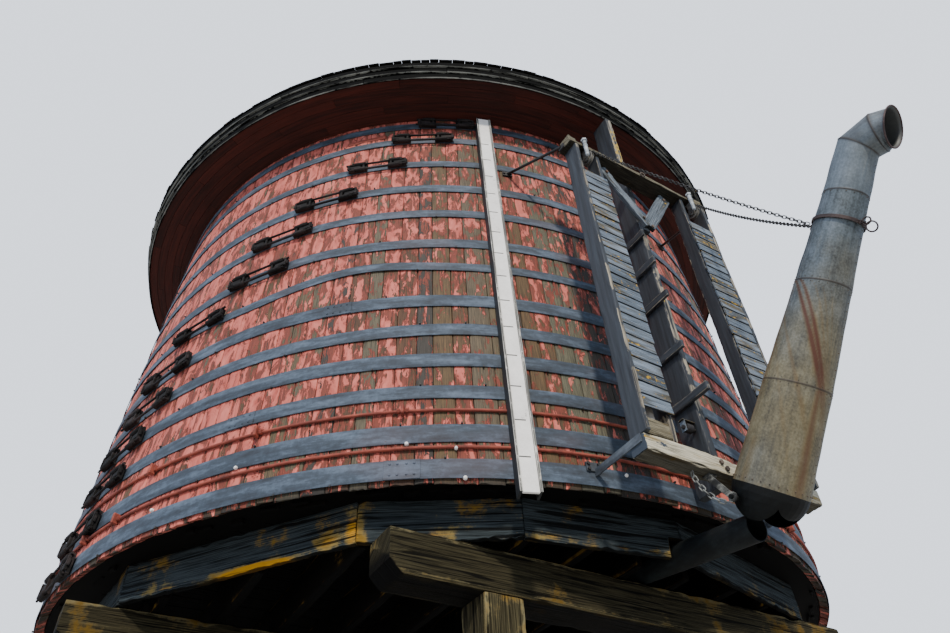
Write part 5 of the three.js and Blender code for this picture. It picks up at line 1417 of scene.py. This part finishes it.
# Each ring of rivets: distance up, how many, and size
for place, count, size in ((0.028, 28, 0.0055), (0.660, 26, 0.0035), (0.694, 26, 0.0030), (1.346, 22, 0.0035),
                           (1.380, 22, 0.0030), (1.985, 18, 0.0035)):
    at, outward = tube_at(stations, count, np.array([place]))
    heads += [rivet(p, o, size, size * 0.9) for p, o in zip(up_spout(at[0]), up_spout(outward[0]) - HINGE)]
up_the_seam = np.arange(0.06, 2.30, 0.055)
at, outward = tube_at(stations, 72, up_the_seam)
for column in (58, 22):
    heads += [rivet(p, o, 0.0032, 0.003)
              for p, o in zip(up_spout(at[:, column]), up_spout(outward[:, column]) - HINGE)]
piece("spout_sheet", shell, zinc_sheet, "spout", stands_for=["spout_barrel", "spout_head"])
sheet_rivets = painted_steel("rusty_rivets_in_sheet", "#2e2a26", "#4d463d", "#77705f", "#5d3a26", 0.30,
                             roughness=0.8)
piece("spout_rivets", gather(heads), sheet_rivets, "spout")
rim_circle, rim_out = tube_at(stations, 96, np.array([reach[-1]]))
bead_turn = full_circle(12)[:, None]
mouth_tilt, swing = np.radians(ELBOW[-1][2]), np.radians(ELBOW_SWING_DEG)
rim_ahead = np.array([np.sin(mouth_tilt) * np.sin(swing), -np.sin(mouth_tilt) * np.cos(swing),
                      np.cos(mouth_tilt)])
bead = np.cos(bead_turn) * rim_out[0][:, None] + np.sin(bead_turn) * rim_ahead
rim_rings = rim_circle[0][:, None] + 0.0058 * bead
rim_iron = painted_steel("rusty_wired_rim", "#201819", "#3d2e2f", "#5d4e4c", "#4d2d24", 0.20, roughness=0.7)
piece("spout_rim", loft(up_spout(rim_rings), wrap_rows=True), rim_iron, "spout")


# Boot, collar and pull ring
# A black bowl riveted under the barrel swings on two trunnions past the outlet pipe's mouth. Higher up, a
# rusty clamped band holds the lifting chains' eye behind and the pull ring's two links in front.
def chain(route, pitch, wire, half_width):
    """Welded links along a route: each is an oval of wire, set at every pitch and turned a quarter from the
    last about the route's own direction."""
    route = np.asarray(route, float)
    lengths = np.concatenate([[0], np.cumsum(np.linalg.norm(np.diff(route, axis=0), axis=1))])
    count = max(int(lengths[-1] / pitch), 1)
    stops = (np.arange(count) + 0.5) * lengths[-1] / count
    centres = np.stack([np.interp(stops, lengths, route[:, i]) for i in range(3)], 1)
    ahead = np.stack([np.interp(stops + 0.01, lengths, route[:, i]) for i in range(3)], 1)
    behind = np.stack([np.interp(stops - 0.01, lengths, route[:, i]) for i in range(3)], 1)
    run = unit(ahead - behind)
    side = unit(np.cross(run, (0.31, 0.17, 0.94)))
    upward = np.cross(run, side)
    roll = (np.pi / 4 + (np.arange(count) % 2) * np.pi / 2)[:, None]
    flat = np.cos(roll) * side + np.sin(roll) * upward
    normal = np.cross(run, flat)
    turn = full_circle(14)
    tube = full_circle(6)[:, None]
    straight = pitch / 2 + wire - half_width
    x = half_width * np.cos(turn) + straight * np.sign(np.round(np.cos(turn), 6))
    y = half_width * np.sin(turn)
    links = []
    for k in range(count):
        outward = np.cos(turn)[:, None] * run[k] + np.sin(turn)[:, None] * flat[k]
        middle = centres[k] + x[:, None] * run[k] + y[:, None] * flat[k]
        rings = middle[:, None] + wire * (np.cos(tube) * outward[:, None] + np.sin(tube) * normal[k])
        links.append(loft(rings, wrap_rows=True))
    return gather(links)


boot_iron = painted_steel("black_paint_on_boot", "#050707", "#0b0e0f", "#15191b", "#1d1815", 0.06,
                          roughness=0.62, specular=0.2)
paint_nodes(boot_iron, "spout_boot")
COLLAR_AT = BASE_AHEAD + 1.800
BAND_IN, BAND_OUT, BAND_HALF = 0.1592, 0.1672, 0.012
band_outline = [(BAND_IN, -BAND_HALF), (BAND_OUT - 0.002, -BAND_HALF), (BAND_OUT, -BAND_HALF + 0.002),
                (BAND_OUT, BAND_HALF - 0.002), (BAND_OUT - 0.002, BAND_HALF), (BAND_IN, BAND_HALF)]
front = -BASE_BELOW - BAND_OUT
collar = gather([
    turned_at((0, -BASE_BELOW, COLLAR_AT), band_outline, 72),
    boards([(-0.014, front - 0.014, COLLAR_AT)], (0.007, 0.026, 0.024), 0.002, 8),
    boards([(0.014, front - 0.014, COLLAR_AT)], (0.007, 0.026, 0.024), 0.002, 8),
    rod([(-0.030, front - 0.020, COLLAR_AT), (0.030, front - 0.020, COLLAR_AT)], 0.006),
    eye_ring((0, BAND_OUT - BASE_BELOW + 0.026, COLLAR_AT), 0.026, 0.007, (1, 0, 0)),
    eye_ring((0, front - 0.038, COLLAR_AT + 0.006), 0.027, 0.0055, (1, 0.15, 0)),
    eye_ring((0.014, front - 0.076, COLLAR_AT - 0.030), 0.034, 0.0055, (-0.75, -0.35, -0.55)),
])
collar["points"] = up_spout(collar["points"])
collar_iron = painted_steel("rusty_iron_of_collar", "#171112", "#2f2425", "#4f4341", "#47291f", 0.16,
                            roughness=0.75)
piece("collar_band", collar, collar_iron, "spout", stands_for=["spout_collar"])


# Outlet pipe
# Riveted sheet-iron pipe, black: it drops from the tank floor, turns, and slopes out under the rim.
PIPE_RADIUS, PIPE_WALL = 0.092, 0.006
PIPE_MOUTH_Y, PIPE_MOUTH_Z, PIPE_SLOPE, PIPE_DROP_Y = -4.113, 3.785, 0.15, -2.450
down_deg = np.degrees(np.arctan(PIPE_SLOPE))
rise = PIPE_MOUTH_Z + PIPE_SLOPE * (PIPE_DROP_Y - PIPE_MOUTH_Y)
pipe_stations = [(PIPE_MOUTH_Y, PIPE_MOUTH_Z, 90 + down_deg, PIPE_RADIUS, 1, 0),
                 (PIPE_DROP_Y, rise, 135 + down_deg / 2, PIPE_RADIUS, 1.38, 0),
                 (PIPE_DROP_Y, FLOOR_FOOT - 0.0003, 180, PIPE_RADIUS, 1, 0)]
rings, turn, length, inside = sheet_tube(pipe_stations, 64, 0.06, (), PIPE_WALL, 0.0006, 35)
pipe_iron = painted_steel("black_paint_on_outlet_pipe", "#040606", "#0c1113", "#1d2426", "#2c2118", 0.08,
                          roughness=0.6, specular=0.25)
pipe_shell = loft(rings, np.stack([turn * PIPE_RADIUS, length], -1), inside, 0.0, wrap_rows=True)
piece("outlet_pipe_sheet", pipe_shell, pipe_iron, stands_for=["outlet_pipe"])


# Chains
# Welded chain of round iron: the lifting and weight chains are dark, with links 30 mm long of 7 mm wire; the
# slack safety chain is zinc-coated, with links 40 mm long of 9 mm wire.
LIFT_LINK = (0.030, 0.0036, 0.0108)
SAFETY_LINK = (0.040, 0.0045, 0.0135)
CHAIN_RUN = 0.079
CHAIN_SAG = 0.055
# How far along the lifting chain's run to the collar's eye the first point given in its blend lies
STRETCH_FROM = 0.50
chain_iron = painted_steel("dark_chain_iron", "#0e0e0f", "#242526", "#474849", "#4a3428", 0.14, roughness=0.7)
zinc_chain = painted_steel("zinc_coated_safety_chain", "#262828", "#585b5a", "#8c908e", "#6a4632", 0.16,
                           roughness=0.6)
eye = up_spout([0.0, BAND_IN - BASE_BELOW + 0.064, COLLAR_AT + 0.022])
for word, side in (("left", -1), ("right", 1)):
    turn = np.radians(np.arange(0, 151, 10))
    centre = SHEAVE * (side, 1, 1)
    over = centre + CHAIN_RUN * np.stack([0 * turn, np.cos(turn), np.sin(turn)], 1)
    start = over[-1]
    goal = np.array([side * 0.022, eye[1], eye[2]])
    t = np.linspace(0, 1, 40)[1:, None]
    run = start + (goal - start) * t - np.array([0, 0, 4 * CHAIN_SAG]) * t * (1 - t)
    route = np.concatenate([over, run])
    near_goal = start + (goal - start) * STRETCH_FROM
    piece(f"{word}_lifting_links", chain(route, *LIFT_LINK), chain_iron, stands_for=[f"{word}_lifting_chain"],
          blend=("root", "spout", tuple(near_goal + AXIS), tuple(goal + AXIS)))
    top = over[0]
    low = np.array([top[0], top[1], STEM_HEAD + 0.005])
    piece(f"{word}_weight_links", chain([top, low], *LIFT_LINK), chain_iron,
          stands_for=[f"{word}_weight_chain"],
          blend=("root", f"{word}_counterweight", tuple(top + AXIS), tuple(low + AXIS)))
SAFETY_ROUTE = ((-0.370, -4.040, 4.130), (-0.370, -4.040, 4.100), (-0.362, -4.055, 4.040),
                (-0.345, -4.085, 3.960), (-0.325, -4.130, 3.890), (-0.300, -4.165, 3.862),
                (-0.278, -4.176, 3.864), (-0.258, -4.177, 3.865))
piece("safety_links", chain(SAFETY_ROUTE, *SAFETY_LINK), zinc_chain, stands_for=["safety_chain"])
